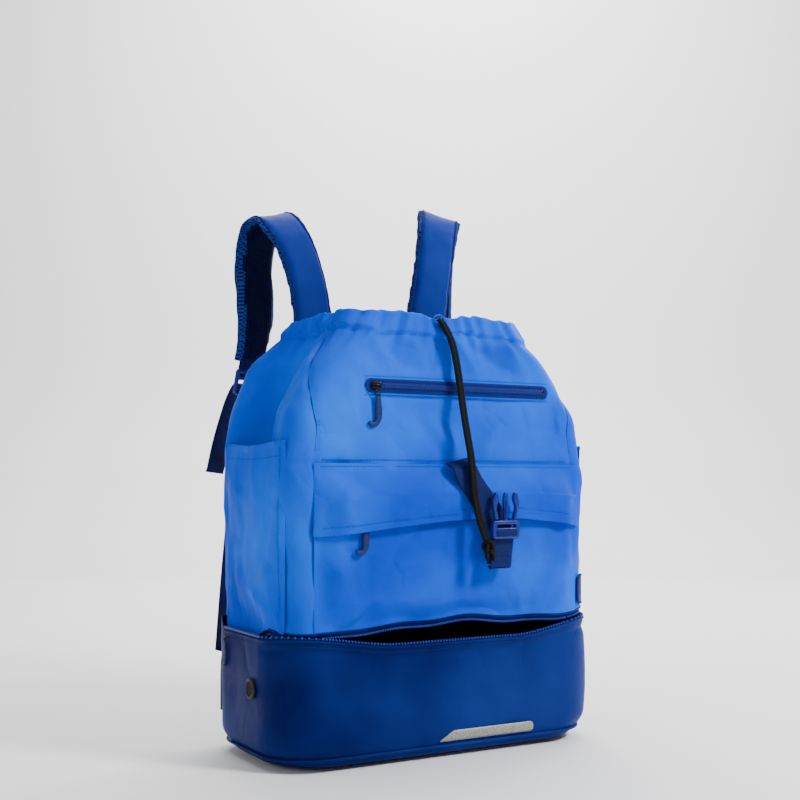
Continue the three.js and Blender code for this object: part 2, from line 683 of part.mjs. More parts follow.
// ---- drawstring -----------------------------------------------------------------------------------
const CORD_ROUTE = [
  [-6.5, -84, 460], [-2, -87.5, 452], [2.5, -90.5, 441], [5.5, -93.5, 428], [7, -97, 411],
  [7.4, -101, 394], [7.6, -105, 376], [8, -109, 358], [8.6, -113.5, 340], [9.3, -118, 323],
  [10, -121.6, 307], [10.6, -123, 292], [11.6, -123.6, 277], [13.8, -124.2, 262], [16.8, -125.4, 247],
  [20, -127.6, 235], [23, -130, 226],
];
const KNOT = [24.5, -131, 218.5];

function buildDrawstring() {
  const spread = CORD_DIAMETER / 2 + 0.45;
  [['left', -1], ['right', 1]].forEach(([name, side]) => {
    const strand = CORD_ROUTE.map(([x, y, z]) => [x + side * spread, y, z]);
    addPart(`drawstring_${name}`,
      sweep(strand, () => roundSection(CORD_DIAMETER / 2, 8), new THREE.Vector3(1, 0, 0), 26), CORD_BLACK);
  });
  const knot = cleaned(new THREE.SphereGeometry(6.2, 10, 8)).scale(1, 0.85, 0.9);
  const tails = [[-3, -13], [4.5, -14]].map(([dx, dz]) => sweep(
    [[0, 0, 0], [dx * 0.6, 0, dz * 0.55], [dx, 0, dz]],
    () => roundSection(CORD_DIAMETER / 2, 8), new THREE.Vector3(0, 1, 0), 5));
  addPart('drawstring_knot', union(knot, ...tails).translate(...KNOT), CORD_BLACK);
}

function buildBadge() {
  const badgeZ = 165;
  const path = (z) => {
    const { half, front, corner } = outlineAt(z);
    return arc(half - corner, -front + corner, corner, -68, -26, 4);
  };
  addPart('corner_badge', wall(path, [badgeZ - 16, badgeZ + 16], 1.3 + GAP, 1.3), NAVY);
}

buildBase();
buildBody();
buildSidePockets();
buildTopZip();
buildFrontPocket();
buildShoeZip();
buildFrontStrap();
buildMaleBuckle();
buildClosure();
buildBack();
buildShoulderStrap('left', -1);
buildShoulderStrap('right', 1);
buildDrawstring();
buildBadge();

export default pack;
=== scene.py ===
import math

import bmesh
import bpy
import numpy as np
from mathutils import Euler, Matrix, Vector, noise
from mathutils.bvhtree import BVHTree


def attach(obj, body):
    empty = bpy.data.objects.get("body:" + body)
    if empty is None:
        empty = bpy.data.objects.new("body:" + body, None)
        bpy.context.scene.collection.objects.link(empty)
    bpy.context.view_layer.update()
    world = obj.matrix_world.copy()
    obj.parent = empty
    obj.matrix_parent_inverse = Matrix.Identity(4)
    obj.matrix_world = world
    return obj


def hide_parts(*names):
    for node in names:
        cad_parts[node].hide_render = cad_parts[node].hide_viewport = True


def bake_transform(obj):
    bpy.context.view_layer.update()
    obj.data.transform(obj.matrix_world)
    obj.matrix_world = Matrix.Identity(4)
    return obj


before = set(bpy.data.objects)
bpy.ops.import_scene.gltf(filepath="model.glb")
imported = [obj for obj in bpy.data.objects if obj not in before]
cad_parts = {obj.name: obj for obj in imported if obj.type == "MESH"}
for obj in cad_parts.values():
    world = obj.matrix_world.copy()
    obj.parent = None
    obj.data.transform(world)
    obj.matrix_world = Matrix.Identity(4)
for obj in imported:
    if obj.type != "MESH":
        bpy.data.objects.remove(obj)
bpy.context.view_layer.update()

# ---- camera ---------------------------------------------------------------------------------------
camera_data = bpy.data.cameras.new("camera")
camera_data.sensor_width = 36
camera_data.lens = 54
camera_data.shift_x = -0.007
camera_data.shift_y = 0.1
camera_data.clip_end = 50
camera = bpy.data.objects.new("camera", camera_data)
camera.location = (-0.6765, -1.1717, 0.289)
camera.rotation_euler = (math.radians(90), 0, math.radians(-30))
bpy.context.scene.collection.objects.link(camera)
bpy.context.scene.camera = camera


# ---- small helpers --------------------------------------------------------------------------------
def lerp(a, b, t):
    return a + (b - a) * t


def smooth(low, high, value):
    """0 below low, 1 above high, easing in between."""
    t = np.clip((np.asarray(value, float) - low) / (high - low), 0, 1)
    return t * t * (3 - 2 * t)


def mm(*values):
    return tuple(v / 1000 for v in values)


def mm_points(*points):
    return [mm(*p) for p in points]


def colour(r, g, b):
    """An sRGB colour, 0 to 255, as linear RGBA."""
    linear = [(c / 255 / 12.92) if c <= 10 else (((c / 255) + 0.055) / 1.055) ** 2.4 for c in (r, g, b)]
    return (*linear, 1)


# ---- materials ------------------------------------------------------------------------------------
class Nodes:
    """A material's node tree with short names for the nodes that this scene uses."""

    def __init__(self, name):
        self.material = bpy.data.materials.new(name)
        self.material.use_nodes = True
        self.tree = self.material.node_tree
        self.surface = self.tree.nodes["Principled BSDF"]
        self.coords = self.add("ShaderNodeTexCoord").outputs["Object"]

    def add(self, kind, **settings):
        node = self.tree.nodes.new(kind)
        for key, value in settings.items():
            setattr(node, key, value)
        return node

    def link(self, out, into):
        self.tree.links.new(out, into)

    def put(self, socket, value):
        if isinstance(value, (int, float, tuple)):
            self.surface.inputs[socket].default_value = value
        else:
            self.link(value, self.surface.inputs[socket])

    def mapped(self, scale):
        node = self.add("ShaderNodeMapping")
        self.link(self.coords, node.inputs["Vector"])
        node.inputs["Scale"].default_value = scale
        return node.outputs["Vector"]

    def noise(self, scale, detail=2, vector=None, rough=0.5):
        node = self.add("ShaderNodeTexNoise")
        self.link(vector or self.coords, node.inputs["Vector"])
        node.inputs["Scale"].default_value = scale
        node.inputs["Detail"].default_value = detail
        node.inputs["Roughness"].default_value = rough
        return node.outputs["Fac"]

    def along(self, direction, period):
        """A wave from 0 to 1 and back, of that period in metres, along a direction."""
        dot = self.add("ShaderNodeVectorMath", operation="DOT_PRODUCT")
        self.link(self.coords, dot.inputs[0])
        dot.inputs[1].default_value = direction
        phase = self.math("MULTIPLY", dot.outputs["Value"], 2 * math.pi / period)
        wave = self.math("SINE", phase)
        return self.math("MULTIPLY_ADD", wave, 0.5, 0.5)

    def math(self, operation, *values, clamp=False):
        node = self.add("ShaderNodeMath", operation=operation, use_clamp=clamp)
        for socket, value in zip(node.inputs, values):
            if isinstance(value, (int, float)):
                socket.default_value = value
            else:
                self.link(value, socket)
        return node.outputs[0]

    def ramp(self, value, *stops):
        node = self.add("ShaderNodeValToRGB")
        self.link(value, node.inputs["Fac"])
        elements = node.color_ramp.elements
        while len(elements) < len(stops):
            elements.new(0.5)
        for element, (place, rgba) in zip(elements, stops):
            element.position = place
            element.color = rgba
        return node.outputs["Color"]

    def mix(self, amount, a, b):
        node = self.add("ShaderNodeMix", data_type="RGBA", blend_type="MIX")
        for socket, value in ((node.inputs[0], amount), (node.inputs[6], a), (node.inputs[7], b)):
            if isinstance(value, (int, float, tuple)):
                socket.default_value = value
            else:
                self.link(value, socket)
        return node.outputs[2]

    def bump(self, height, distance, strength=1.0, onto=None):
        node = self.add("ShaderNodeBump")
        self.link(height, node.inputs["Height"])
        node.inputs["Distance"].default_value = distance
        node.inputs["Strength"].default_value = strength
        if onto is not None:
            self.link(onto, node.inputs["Normal"])
        self.link(node.outputs["Normal"], self.surface.inputs["Normal"])
        return node.outputs["Normal"]


def coated_cloth(name, deep, mid, light, rough=0.5, period=0.0009, wrinkle=0.0050,
                 tint=(1, 1, 1, 1), gloss=0.03):
    """Plain-woven polyester with a thin coating: fine threads, soft creases and uneven sheen."""
    n = Nodes(name)
    broad = n.noise(5.5, 3)
    base = n.ramp(broad, (0.36, deep), (0.5, mid), (0.66, light))
    warp = n.along((1, 1, 0), period)
    weft = n.along((0, 0.25, 1), period * 0.9)
    weave = n.math("MULTIPLY", warp, weft)
    base = n.mix(n.math("MULTIPLY", weave, 0.10), base, light)
    fibre = n.noise(900, 2)
    base = n.mix(n.math("MULTIPLY", fibre, 0.10), base, deep)
    n.put("Base Color", base)
    n.put("Roughness", n.math("MULTIPLY_ADD", n.noise(24, 3), 0.16, rough - 0.08))
    n.put("Specular IOR Level", gloss)
    n.put("Specular Tint", tint)
    folds = [n.math("ABSOLUTE", n.math("SUBTRACT", n.noise(scale, 2, rough=0.45), 0.5))
             for scale in (7.5, 16)]
    ridged = n.math("MULTIPLY_ADD", folds[1], 0.45, folds[0])
    creases = n.bump(n.math("SMOOTH_MIN", ridged, 0.10, 0.03), 5 * wrinkle, 0.8)
    n.bump(n.math("ADD", weave, n.math("MULTIPLY", fibre, 0.5)), 0.00012, 0.5, onto=creases)
    return n.material


def ribbed_webbing(name, deep, light, period=0.0016):
    """Polyester webbing: ribs across its length with a herringbone twill."""
    n = Nodes(name)
    ribs = n.along((0.15, 0.15, 1), period)
    twill = n.along((1, 1, 0.9), period * 0.8)
    height = n.math("ADD", n.math("MULTIPLY", ribs, 0.6), n.math("MULTIPLY", twill, 0.4))
    base = n.ramp(n.math("MULTIPLY_ADD", n.noise(60, 3), 0.35, n.math("MULTIPLY", height, 0.6)),
                  (0.15, deep), (0.85, light))
    n.put("Base Color", base)
    n.put("Roughness", n.math("MULTIPLY_ADD", n.noise(40, 2), 0.15, 0.62))
    n.put("Specular IOR Level", 0.15)
    n.bump(height, 0.0004, 0.7)
    return n.material


def spacer_mesh(name, hole, thread, period=0.0036, sheen=0.02):
    """Warp-knit spacer mesh: a net of diamond holes over a dark ground."""
    n = Nodes(name)
    one = n.along((1, 1, 0.8), period)
    two = n.along((1, 1, -0.8), period)
    cell = n.math("MULTIPLY", one, two)
    net = n.math("SUBTRACT", 1.0, n.math("SMOOTH_MIN", n.math("MULTIPLY", cell, 2.2), 1.0, 0.2))
    base = n.ramp(n.math("ADD", net, n.math("MULTIPLY", n.noise(500, 2), 0.12)), (0.15, hole), (0.75, thread))
    n.put("Base Color", base)
    n.put("Roughness", 0.78)
    n.put("Specular IOR Level", 0.15)
    n.put("Sheen Weight", sheen)
    soft = n.bump(n.noise(60, 2), 0.001, 0.3)
    n.bump(net, 0.0011, 0.9, onto=soft)
    return n.material


def ribbed_mesh(name, hole, thread, period=0.0034):
    """Air mesh lining: upright ribs crossed by small bars."""
    n = Nodes(name)
    ribs = n.along((1, 0.6, 0), period)
    bars = n.along((0, 0, 1), period * 0.75)
    height = n.math("MAXIMUM", ribs, n.math("MULTIPLY", bars, 0.55))
    fuzz = n.math("MULTIPLY", n.noise(400, 2), 0.1)
    base = n.ramp(n.math("ADD", height, fuzz), (0.25, hole), (0.95, thread))
    n.put("Base Color", base)
    n.put("Roughness", 0.85)
    n.put("Specular IOR Level", 0.1)
    n.bump(height, 0.0010, 0.8)
    return n.material


def moulded(name, dark, base, rough=0.36, coat=0.1):
    """Injection-moulded acetal: fine spark texture, rubbed lighter in places."""
    n = Nodes(name)
    tone = n.mix(n.math("MULTIPLY", n.noise(70, 3), 0.55), base, dark)
    scuffs = n.noise(30, 6, n.mapped((1, 1, 9)), rough=0.8)
    n.put("Base Color", tone)
    n.put("Roughness", n.math("MULTIPLY_ADD", scuffs, 0.22, rough - 0.1))
    n.put("Coat Weight", coat)
    n.put("Coat Roughness", 0.3)
    n.put("Specular IOR Level", 0.3)
    n.bump(n.noise(1600, 2), 0.00008, 0.5)
    return n.material


def enamelled(name, dark, light):
    """Black enamel on a die-cast zip slider, worn bright at its edges."""
    n = Nodes(name)
    wear = n.noise(420, 4, rough=0.7)
    n.put("Base Color", n.ramp(wear, (0.5, dark), (0.78, light)))
    n.put("Metallic", n.math("MULTIPLY_ADD", wear, 0.4, 0.55))
    n.put("Roughness", n.math("MULTIPLY_ADD", n.noise(160, 3), 0.2, 0.22))
    n.bump(n.noise(500, 2), 0.00006, 0.5)
    return n.material


def braid(name, dark, light):
    """Braided cord: crossed diagonal strands."""
    n = Nodes(name)
    one = n.along((1.2, 1.2, 1), 0.0021)
    two = n.along((1.2, 1.2, -1), 0.0021)
    height = n.math("MAXIMUM", one, two)
    n.put("Base Color", n.ramp(n.math("ADD", height, n.math("MULTIPLY", n.noise(700, 2), 0.3)),
                               (0.45, dark), (1.0, light)))
    n.put("Roughness", 0.75)
    n.put("Specular IOR Level", 0.15)
    n.bump(height, 0.0004, 0.8)
    return n.material


def reflective_tape(name):
    """Grey glass-bead tape with a faint honeycomb."""
    n = Nodes(name)
    cell = n.add("ShaderNodeTexVoronoi", feature="DISTANCE_TO_EDGE")
    n.link(n.coords, cell.inputs["Vector"])
    cell.inputs["Scale"].default_value = 420
    edge = n.math("MULTIPLY", cell.outputs["Distance"], 6.0, clamp=True)
    n.put("Base Color", n.mix(edge, colour(112, 112, 108), colour(158, 157, 150)))
    n.put("Metallic", 0.25)
    n.put("Roughness", n.math("MULTIPLY_ADD", n.noise(90, 3), 0.2, 0.38))
    n.bump(edge, 0.0001, 0.6)
    return n.material


def coarse_foam(name, dark, light):
    n = Nodes(name)
    grain = n.noise(160, 5, rough=0.7)
    n.put("Base Color", n.ramp(grain, (0.3, dark), (0.7, light)))
    n.put("Roughness", 0.85)
    n.bump(grain, 0.0004, 0.6)
    return n.material


# Colours of the cloth, linear: its deep, middle and light tones.
BLUE_SHEEN = (0, 0.2, 1, 1)
AZURE = coated_cloth("azure_cloth", (0, 0.046, 0.50, 1), (0, 0.088, 0.68, 1), (0, 0.140, 0.84, 1),
                     tint=BLUE_SHEEN)
POCKET_AZURE = coated_cloth("pocket_cloth", (0, 0.043, 0.48, 1), (0, 0.083, 0.66, 1), (0, 0.135, 0.82, 1),
                            tint=BLUE_SHEEN)
NAVY = coated_cloth("navy_cloth", (0.001, 0.004, 0.070, 1), (0.003, 0.011, 0.110, 1),
                    (0.008, 0.024, 0.170, 1), wrinkle=0.0022, tint=(0.1, 0.3, 1, 1), gloss=0.09)
LINING = coated_cloth("black_lining", (0.001, 0.001, 0.003, 1), (0.003, 0.003, 0.006, 1),
                      (0.007, 0.008, 0.013, 1), rough=0.7)
STRAP_FACE = coated_cloth("strap_satin", (0.002, 0.007, 0.100, 1), (0.004, 0.017, 0.175, 1),
                          (0.010, 0.032, 0.260, 1), period=0.0014, wrinkle=0.0016,
                          tint=(0.1, 0.25, 1, 1), gloss=0.12)
DIAMOND_MESH = spacer_mesh("diamond_mesh", (0.0005, 0.002, 0.030, 1), (0.006, 0.034, 0.260, 1))
RIB_MESH = ribbed_mesh("rib_mesh", (0, 0, 0.006, 1), (0.001, 0.005, 0.060, 1))
BACK_MESH = spacer_mesh("back_mesh", (0, 0.001, 0.010, 1), (0.003, 0.009, 0.070, 1), period=0.007)
WEBBING = ribbed_webbing("webbing_weave", (0, 0.002, 0.030, 1), (0.003, 0.012, 0.130, 1))
TAPE = ribbed_webbing("zip_tape_weave", (0, 0.003, 0.070, 1), (0.003, 0.020, 0.230, 1), period=0.0010)
COIL = moulded("coil_nylon", (0, 0.004, 0.08, 1), (0.004, 0.024, 0.26, 1), rough=0.36)
PLASTIC = moulded("buckle_acetal", (0.001, 0.003, 0.09, 1), (0.003, 0.013, 0.22, 1), rough=0.3, coat=0.12)
PULLER = moulded("puller_rubber", (0, 0.002, 0.045, 1), (0.002, 0.010, 0.120, 1), rough=0.5, coat=0)
METAL = enamelled("slider_enamel", colour(8, 8, 11), colour(96, 95, 94))
CORD = braid("cord_braid", (0.0006, 0.0005, 0.0004, 1), (0.006, 0.005, 0.0035, 1))
THREAD = ribbed_webbing("thread_azure", (0, 0.050, 0.34, 1), (0, 0.120, 0.52, 1), period=0.0006)
# Deep blue for the dark line along the corner seams: painted shade of the seam's groove, not thread.
SEAM_SHADE_LINE = ribbed_webbing("seam_painted_shade", (0, 0.010, 0.13, 1), (0, 0.030, 0.26, 1), period=0.0006)
NAVY_THREAD = ribbed_webbing("thread_navy", (0.001, 0.005, 0.08, 1), (0.006, 0.026, 0.20, 1), period=0.0006)
REFLECTOR = reflective_tape("reflector_tape")
BOARD = coarse_foam("stiffener_board", colour(16, 18, 24), colour(34, 36, 44))
VENT = moulded("vent_black", colour(6, 7, 10), colour(18, 20, 28), rough=0.5)


# ---- mesh helpers ---------------------------------------------------------------------------------
def add_object(name, mesh, materials):
    obj = bpy.data.objects.new(name, mesh)
    bpy.context.scene.collection.objects.link(obj)
    for material in materials if isinstance(materials, (list, tuple)) else [materials]:
        mesh.materials.append(material)
    return obj


def mesh_piece(name, verts, faces, materials):
    mesh = bpy.data.meshes.new(name)
    mesh.from_pydata([tuple(map(float, v)) for v in verts], [], [tuple(map(int, f)) for f in faces])
    mesh.update()
    obj = add_object(name, mesh, materials)
    mesh.shade_smooth()
    return obj


def fix_normals(obj):
    b = bmesh.new()
    b.from_mesh(obj.data)
    bmesh.ops.recalc_face_normals(b, faces=b.faces)
    b.to_mesh(obj.data)
    b.free()


def grid_faces(rows, cols, closed=False, flip=False):
    faces = []
    for r in range(rows - 1):
        for c in range(cols if closed else cols - 1):
            a, b = r * cols + c, r * cols + (c + 1) % cols
            quad = (a, b, b + cols, a + cols)
            faces.append(quad[::-1] if flip else quad)
    return faces


def grid_piece(name, points, materials, closed=False, flip=False, thickness=0.0, lining=None, subdivide=0):
    """A sheet through rows of points. Its faces look out where rows run up and columns anticlockwise."""
    points = np.asarray(points, float)
    rows, cols = points.shape[:2]
    obj = mesh_piece(name, points.reshape(-1, 3), grid_faces(rows, cols, closed, flip), materials)
    if thickness:
        skin = obj.modifiers.new("thickness", "SOLIDIFY")
        skin.thickness = thickness
        skin.offset = -1
        skin.use_even_offset = False
        if lining:
            obj.data.materials.append(lining)
            skin.material_offset = len(obj.data.materials) - 1
    if subdivide:
        obj.modifiers.new("smooth", "SUBSURF").levels = subdivide
        obj.modifiers["smooth"].render_levels = subdivide
    return obj


def ring_solid(name, rings, materials):
    """A closed solid through rings of points, capped at both ends."""
    rings = np.asarray(rings, float)
    rows, cols = rings.shape[:2]
    caps = [tuple(range(cols))[::-1], tuple(range((rows - 1) * cols, rows * cols))]
    obj = mesh_piece(name, rings.reshape(-1, 3), grid_faces(rows, cols, closed=True) + caps, materials)
    fix_normals(obj)
    return obj


def beads(name, solids, material):
    """Many small capped solids in one mesh, each given as rings of points."""
    verts, faces = [], []
    for rings in solids:
        start, rows, cols = len(verts), len(rings), len(rings[0])
        verts += [point for ring in rings for point in ring]
        faces += [tuple(start + i for i in face) for face in grid_faces(rows, cols, closed=True)]
        faces.append(tuple(start + a for a in range(cols - 1, -1, -1)))
        faces.append(tuple(start + (rows - 1) * cols + a for a in range(cols)))
    return mesh_piece(name, verts, faces, material)


def resample(points, count):
    """count points at even spacing along a smooth curve through the given ones."""
    p = np.asarray(points, float)
    if len(p) > 2:
        ends = np.vstack([2 * p[0] - p[1], p, 2 * p[-1] - p[-2]])
        fine = []
        for i in range(1, len(ends) - 2):
            a, b, c, d = ends[i - 1:i + 3]
            t = np.linspace(0, 1, 16, endpoint=False)[:, None]
            fine.append(0.5 * (2 * b + (c - a) * t + (2 * a - 5 * b + 4 * c - d) * t ** 2
                               + (3 * b - a - 3 * c + d) * t ** 3))
        p = np.vstack(fine + [ends[-2:-1]])
    run = np.concatenate([[0], np.cumsum(np.linalg.norm(np.diff(p, axis=0), axis=1))])
    even = np.linspace(0, run[-1], count)
    return np.column_stack([np.interp(even, run, p[:, k]) for k in range(p.shape[1])])


def length_of(points):
    return float(np.linalg.norm(np.diff(np.asarray(points, float), axis=0), axis=1).sum())


def unit(v):
    v = np.asarray(v, float)
    return v / np.maximum(np.linalg.norm(v, axis=-1, keepdims=True), 1e-12)


def frames(points, across):
    """Sideways and normal direction at each point of a path."""
    tangent = unit(np.gradient(points, axis=0))
    side = np.array([across(k / (len(points) - 1)) if callable(across) else across
                     for k in range(len(points))], float)
    normal = unit(np.cross(tangent, side))
    return unit(np.cross(normal, tangent)), normal


def sweep(name, path, section, across, steps, materials):
    """A solid of that cross-section along a path."""
    points = resample(path, steps)
    side, normal = frames(points, across)
    return ring_solid(name, [[centre + side[k] * w + normal[k] * h for w, h in section]
                             for k, centre in enumerate(points)], materials)


def rounded(width, height, radius, cx=0.0, cy=0.0, steps=5):
    """Outline of a rectangle with rounded corners."""
    points = []
    for sx, sy, start in ((1, 1, 0), (-1, 1, 90), (-1, -1, 180), (1, -1, 270)):
        for k in range(steps + 1):
            angle = math.radians(start + 90 * k / steps)
            points.append((cx + sx * (width / 2 - radius) + radius * math.cos(angle),
                           cy + sy * (height / 2 - radius) + radius * math.sin(angle)))
    return points


def band(width, thick, corner=0.45, steps=3):
    """Cross-section of a flat strap with rounded edges."""
    return rounded(width, thick, thick * corner, steps=steps)


def turns(count):
    """Angles of count points evenly round a circle."""
    return np.linspace(0, 2 * math.pi, count, endpoint=False)


def circle(radius, sides=10):
    return [(radius * math.cos(2 * math.pi * k / sides), radius * math.sin(2 * math.pi * k / sides))
            for k in range(sides)]


def tube(name, path, radius, material, sides=8, steps=None, across=(0.13, 0.21, 0.97)):
    count = steps or max(8, int(length_of(path) / (radius * 1.6)))
    return sweep(name, path, circle(radius, sides), across, min(count, 900), material)


def loop_tube(name, points, radius, material, sides=8):
    """A tube along a closed loop of points."""
    p = np.asarray(points, float)
    ahead, behind = np.roll(p, -1, axis=0), np.roll(p, 1, axis=0)
    tangent = unit(ahead - behind)
    side = unit(np.cross(tangent, (0.02, 0.03, 1)))
    up = unit(np.cross(side, tangent))
    rings = [[c + side[k] * w + up[k] * h for w, h in circle(radius, sides)] for k, c in enumerate(p)]
    rings = np.array(rings + [rings[0]])
    rows, cols = rings.shape[:2]
    faces = grid_faces(rows, cols, closed=True)
    last = (rows - 1) * cols
    faces = [tuple(i - last if i >= last else i for i in f) for f in faces]
    obj = mesh_piece(name, rings[:-1].reshape(-1, 3), faces, material)
    fix_normals(obj)
    return obj


def join(name, objects):
    """Several mesh objects made one, modifiers applied."""
    b = bmesh.new()
    materials = []
    depsgraph = bpy.context.evaluated_depsgraph_get()
    for obj in objects:
        mesh = bpy.data.meshes.new_from_object(obj.evaluated_get(depsgraph))
        mesh.transform(obj.matrix_world)
        slots = []
        for material in obj.data.materials:
            if material not in materials:
                materials.append(material)
            slots.append(materials.index(material))
        for polygon in mesh.polygons:
            polygon.material_index = slots[min(polygon.material_index, len(slots) - 1)]
        b.from_mesh(mesh)
    mesh = bpy.data.meshes.new(name)
    b.to_mesh(mesh)
    b.free()
    for obj in objects:
        bpy.data.objects.remove(obj)
    return add_object(name, mesh, materials)


def plate(name, loops, depth, bevel, place, material):
    """A flat moulded piece with rounded edges from closed outlines in its own X, Y, depth along Z."""
    curve = bpy.data.curves.new(name, "CURVE")
    curve.dimensions = "2D"
    curve.fill_mode = "BOTH"
    curve.extrude = depth / 2 - bevel
    curve.bevel_depth = bevel
    curve.bevel_resolution = 2
    curve.offset = -bevel
    for loop in loops:
        spline = curve.splines.new("POLY")
        spline.points.add(len(loop) - 1)
        spline.points.foreach_set("co", [c for x, y in loop for c in (x, y, 0, 1)])
        spline.use_cyclic_u = True
    source = bpy.data.objects.new(name + "_curve", curve)
    bpy.context.scene.collection.objects.link(source)
    mesh = bpy.data.meshes.new_from_object(source.evaluated_get(bpy.context.evaluated_depsgraph_get()))
    bpy.data.objects.remove(source)
    mesh.transform(place)
    mesh.materials.clear()
    obj = add_object(name, mesh, material)
    b = bmesh.new()
    b.from_mesh(mesh)
    bmesh.ops.remove_doubles(b, verts=b.verts, dist=1e-6)
    bmesh.ops.recalc_face_normals(b, faces=b.faces)
    b.to_mesh(mesh)
    b.free()
    mesh.shade_smooth()
    mesh.set_sharp_from_angle(angle=math.radians(40))
    return obj


def facing(x, y, z, turn=0.0):
    """Places a plate upright in the XZ plane, its +Z face looking along -Y, turned about Z."""
    return (Matrix.Translation((x, y, z)) @ Matrix.Rotation(turn, 4, "Z")
            @ Matrix.Rotation(math.radians(90), 4, "X"))


# Rings of a stitch: place along its length, size and height; and of a tooth: across, height and size.
STITCH_RINGS = ((-0.5, 0.45, -0.4), (-0.3, 1, 0.5), (0.3, 1, 0.5), (0.5, 0.45, -0.4))
TOOTH_RINGS = ((-0.5, 0.0, 0.5), (-0.42, 0.75, 0.85), (0.0, 1.0, 1.0), (0.42, 0.75, 0.85), (0.5, 0.0, 0.5))
TOOTH_SHAPE = ((-1, -0.6), (1, -0.6), (1, 0.5), (0, 0.85), (-1, 0.5))


def stitches(name, path, lift, material, pitch=0.0036, length=0.0026, radius=0.00034):
    """A row of thread stitches, each a small arched bar lying on the cloth."""
    count = max(2, int(length_of(path) / pitch))
    line = resample(path, count * 4 + 1)
    lifts = unit(np.asarray(lift, float)) * np.ones((len(line), 1))
    tangents = unit(np.gradient(line, axis=0))
    solids = []
    for k in range(count):
        i = min(k * 4 + 2, len(line) - 1)
        centre, direction, up = line[i], tangents[i], lifts[i]
        side = unit(np.cross(direction, up))
        solids.append([[centre + direction * along * length + up * radius * height
                        + (side * math.cos(angle) + up * math.sin(angle)) * radius * size
                        for angle in (a * math.pi / 3 for a in range(6))]
                       for along, size, height in STITCH_RINGS])
    return beads(name, solids, material)


def zip_teeth(name, path, normal, across, material, pitch=0.0021, width=0.0042, height=0.0013):
    """Coil teeth: small rounded loops side by side along a path."""
    count = int(length_of(path) / pitch)
    line = resample(path, count)
    tangents = unit(np.gradient(line, axis=0))
    normal, side = unit(np.asarray(normal, float)), unit(np.asarray(across, float))
    solids = []
    for k in range(count):
        shift = 0.14 if k % 2 else -0.14
        rings = []
        for w, h, size in TOOTH_RINGS:
            half = pitch * 0.36 * size
            centre = line[k] + side * (w + shift) * width + normal * h * height
            rings.append([centre + tangents[k] * u * half + normal * v * half for u, v in TOOTH_SHAPE])
        solids.append(rings)
    return beads(name, solids, material)


def settle(obj, body, slot, *nodes):
    """The piece rides on a body and stands for these CAD nodes; its slot is not used."""
    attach(obj, body)
    if nodes:
        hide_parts(*nodes)


def fractal(x, y, z, scale, seed=0.0):
    """Smooth noise from about -1 to 1 at a point."""
    return noise.fractal(Vector((x * scale + seed, y * scale - seed, z * scale + 0.37 * seed)), 1.0, 2.1, 3)


# ---- the bag's outline ----------------------------------------------------------------------------
# Height, half width at the front and at the rear, distance of front and back, corner radius.
STATIONS = np.array([
    (0, 186, 186, 91, 84, 60), (16, 200, 200, 99, 94, 56), (122, 200, 200, 99, 94, 50),
    (145, 190, 190, 94, 94, 36), (305, 190, 190, 95, 94, 30), (360, 180, 186, 92, 94, 28),
    (415, 141, 160, 86, 94, 26), (445, 114, 124, 80, 93, 24), (467, 104, 105, 76, 92, 24),
]) / 1000
FOLD_INNER = 0.112
RIM = 0.467
BODY_BOTTOM = 0.140
POCKET_TOP = 0.329
SEAM = 0.305                    # the storm flap's seam across the front
TOP_ZIP_Z = 0.386
TOP_ZIP_LEFT, TOP_ZIP_RIGHT = -0.100, 0.130
TOP_ZIP_HALF = 0.0072           # half the height of its tape
PANEL_LEFT, PANEL_RIGHT = -0.1605, 0.1680     # upright edges of the front pocket
FLAP_LEFT, FLAP_RIGHT = -0.1615, 0.1690       # and of the storm flap over it
CORD_RADIUS = 0.0024


def outline(z, blur=0.007):
    """Half width, rear half width, front, back and corner radius of the bag at a height."""
    heights = np.clip(np.array([z - blur, z - blur / 2, z, z + blur / 2, z + blur]), 0, RIM)
    return [float(np.interp(heights, STATIONS[:, 0], STATIONS[:, k]).mean()) for k in range(1, 6)]


def arc(cx, cy, radius, start, end, count):
    angles = np.radians(np.linspace(start, end, count))
    return np.column_stack([cx + radius * np.cos(angles), cy + radius * np.sin(angles)])


def front_y(z):
    return -outline(z)[2]


FRONT_COLS, CORNER_COLS, SIDE_COLS, BACK_COLS = 84, 10, 46, 56


def side_run(z, folded):
    """The right side from the end of the front corner to the start of the rear one."""
    half, rear, front, back, corner = outline(z)
    t = np.linspace(0, 1, SIDE_COLS + 2)[1:-1]
    y = -front + corner + t * (front + back - 2 * corner)
    slack = 0.030 - 0.021 * smooth(0.395, 0.447, z)
    depth = max(0.0, min(half, rear) - min(FOLD_INNER, half - slack)) * folded
    inward = 1.15 * smooth(0.13, 0.46, t) * (1 - smooth(0.52, 0.95, t))
    x = half + (rear - half) * t - depth * inward
    return np.column_stack([x, y])


def perimeter(z, folded=1.0):
    """Plan outline at a height, anticlockwise from the front left corner."""
    half, rear, front, back, corner = outline(z)
    x = np.linspace(-(half - corner), half - corner, FRONT_COLS)
    run = side_run(z, folded)
    right = np.vstack([arc(half - corner, -front + corner, corner, -90, 0, CORNER_COLS + 2)[1:],
                       run, arc(rear - corner, back - corner, corner, 0, 90, CORNER_COLS + 2)[:-1]])
    back_x = np.linspace(rear - corner, -(rear - corner), BACK_COLS)
    left = right[::-1] * (-1, 1)
    return np.vstack([np.column_stack([x, np.full(FRONT_COLS, -front)]), right,
                      np.column_stack([back_x, np.full(BACK_COLS, back)]), left])


def grid_normals(points, closed=True):
    if closed:
        along = np.roll(points, -1, axis=1) - np.roll(points, 1, axis=1)
    else:
        along = np.gradient(points, axis=1)
    up = np.gradient(points, axis=0)
    return unit(np.cross(along, up))


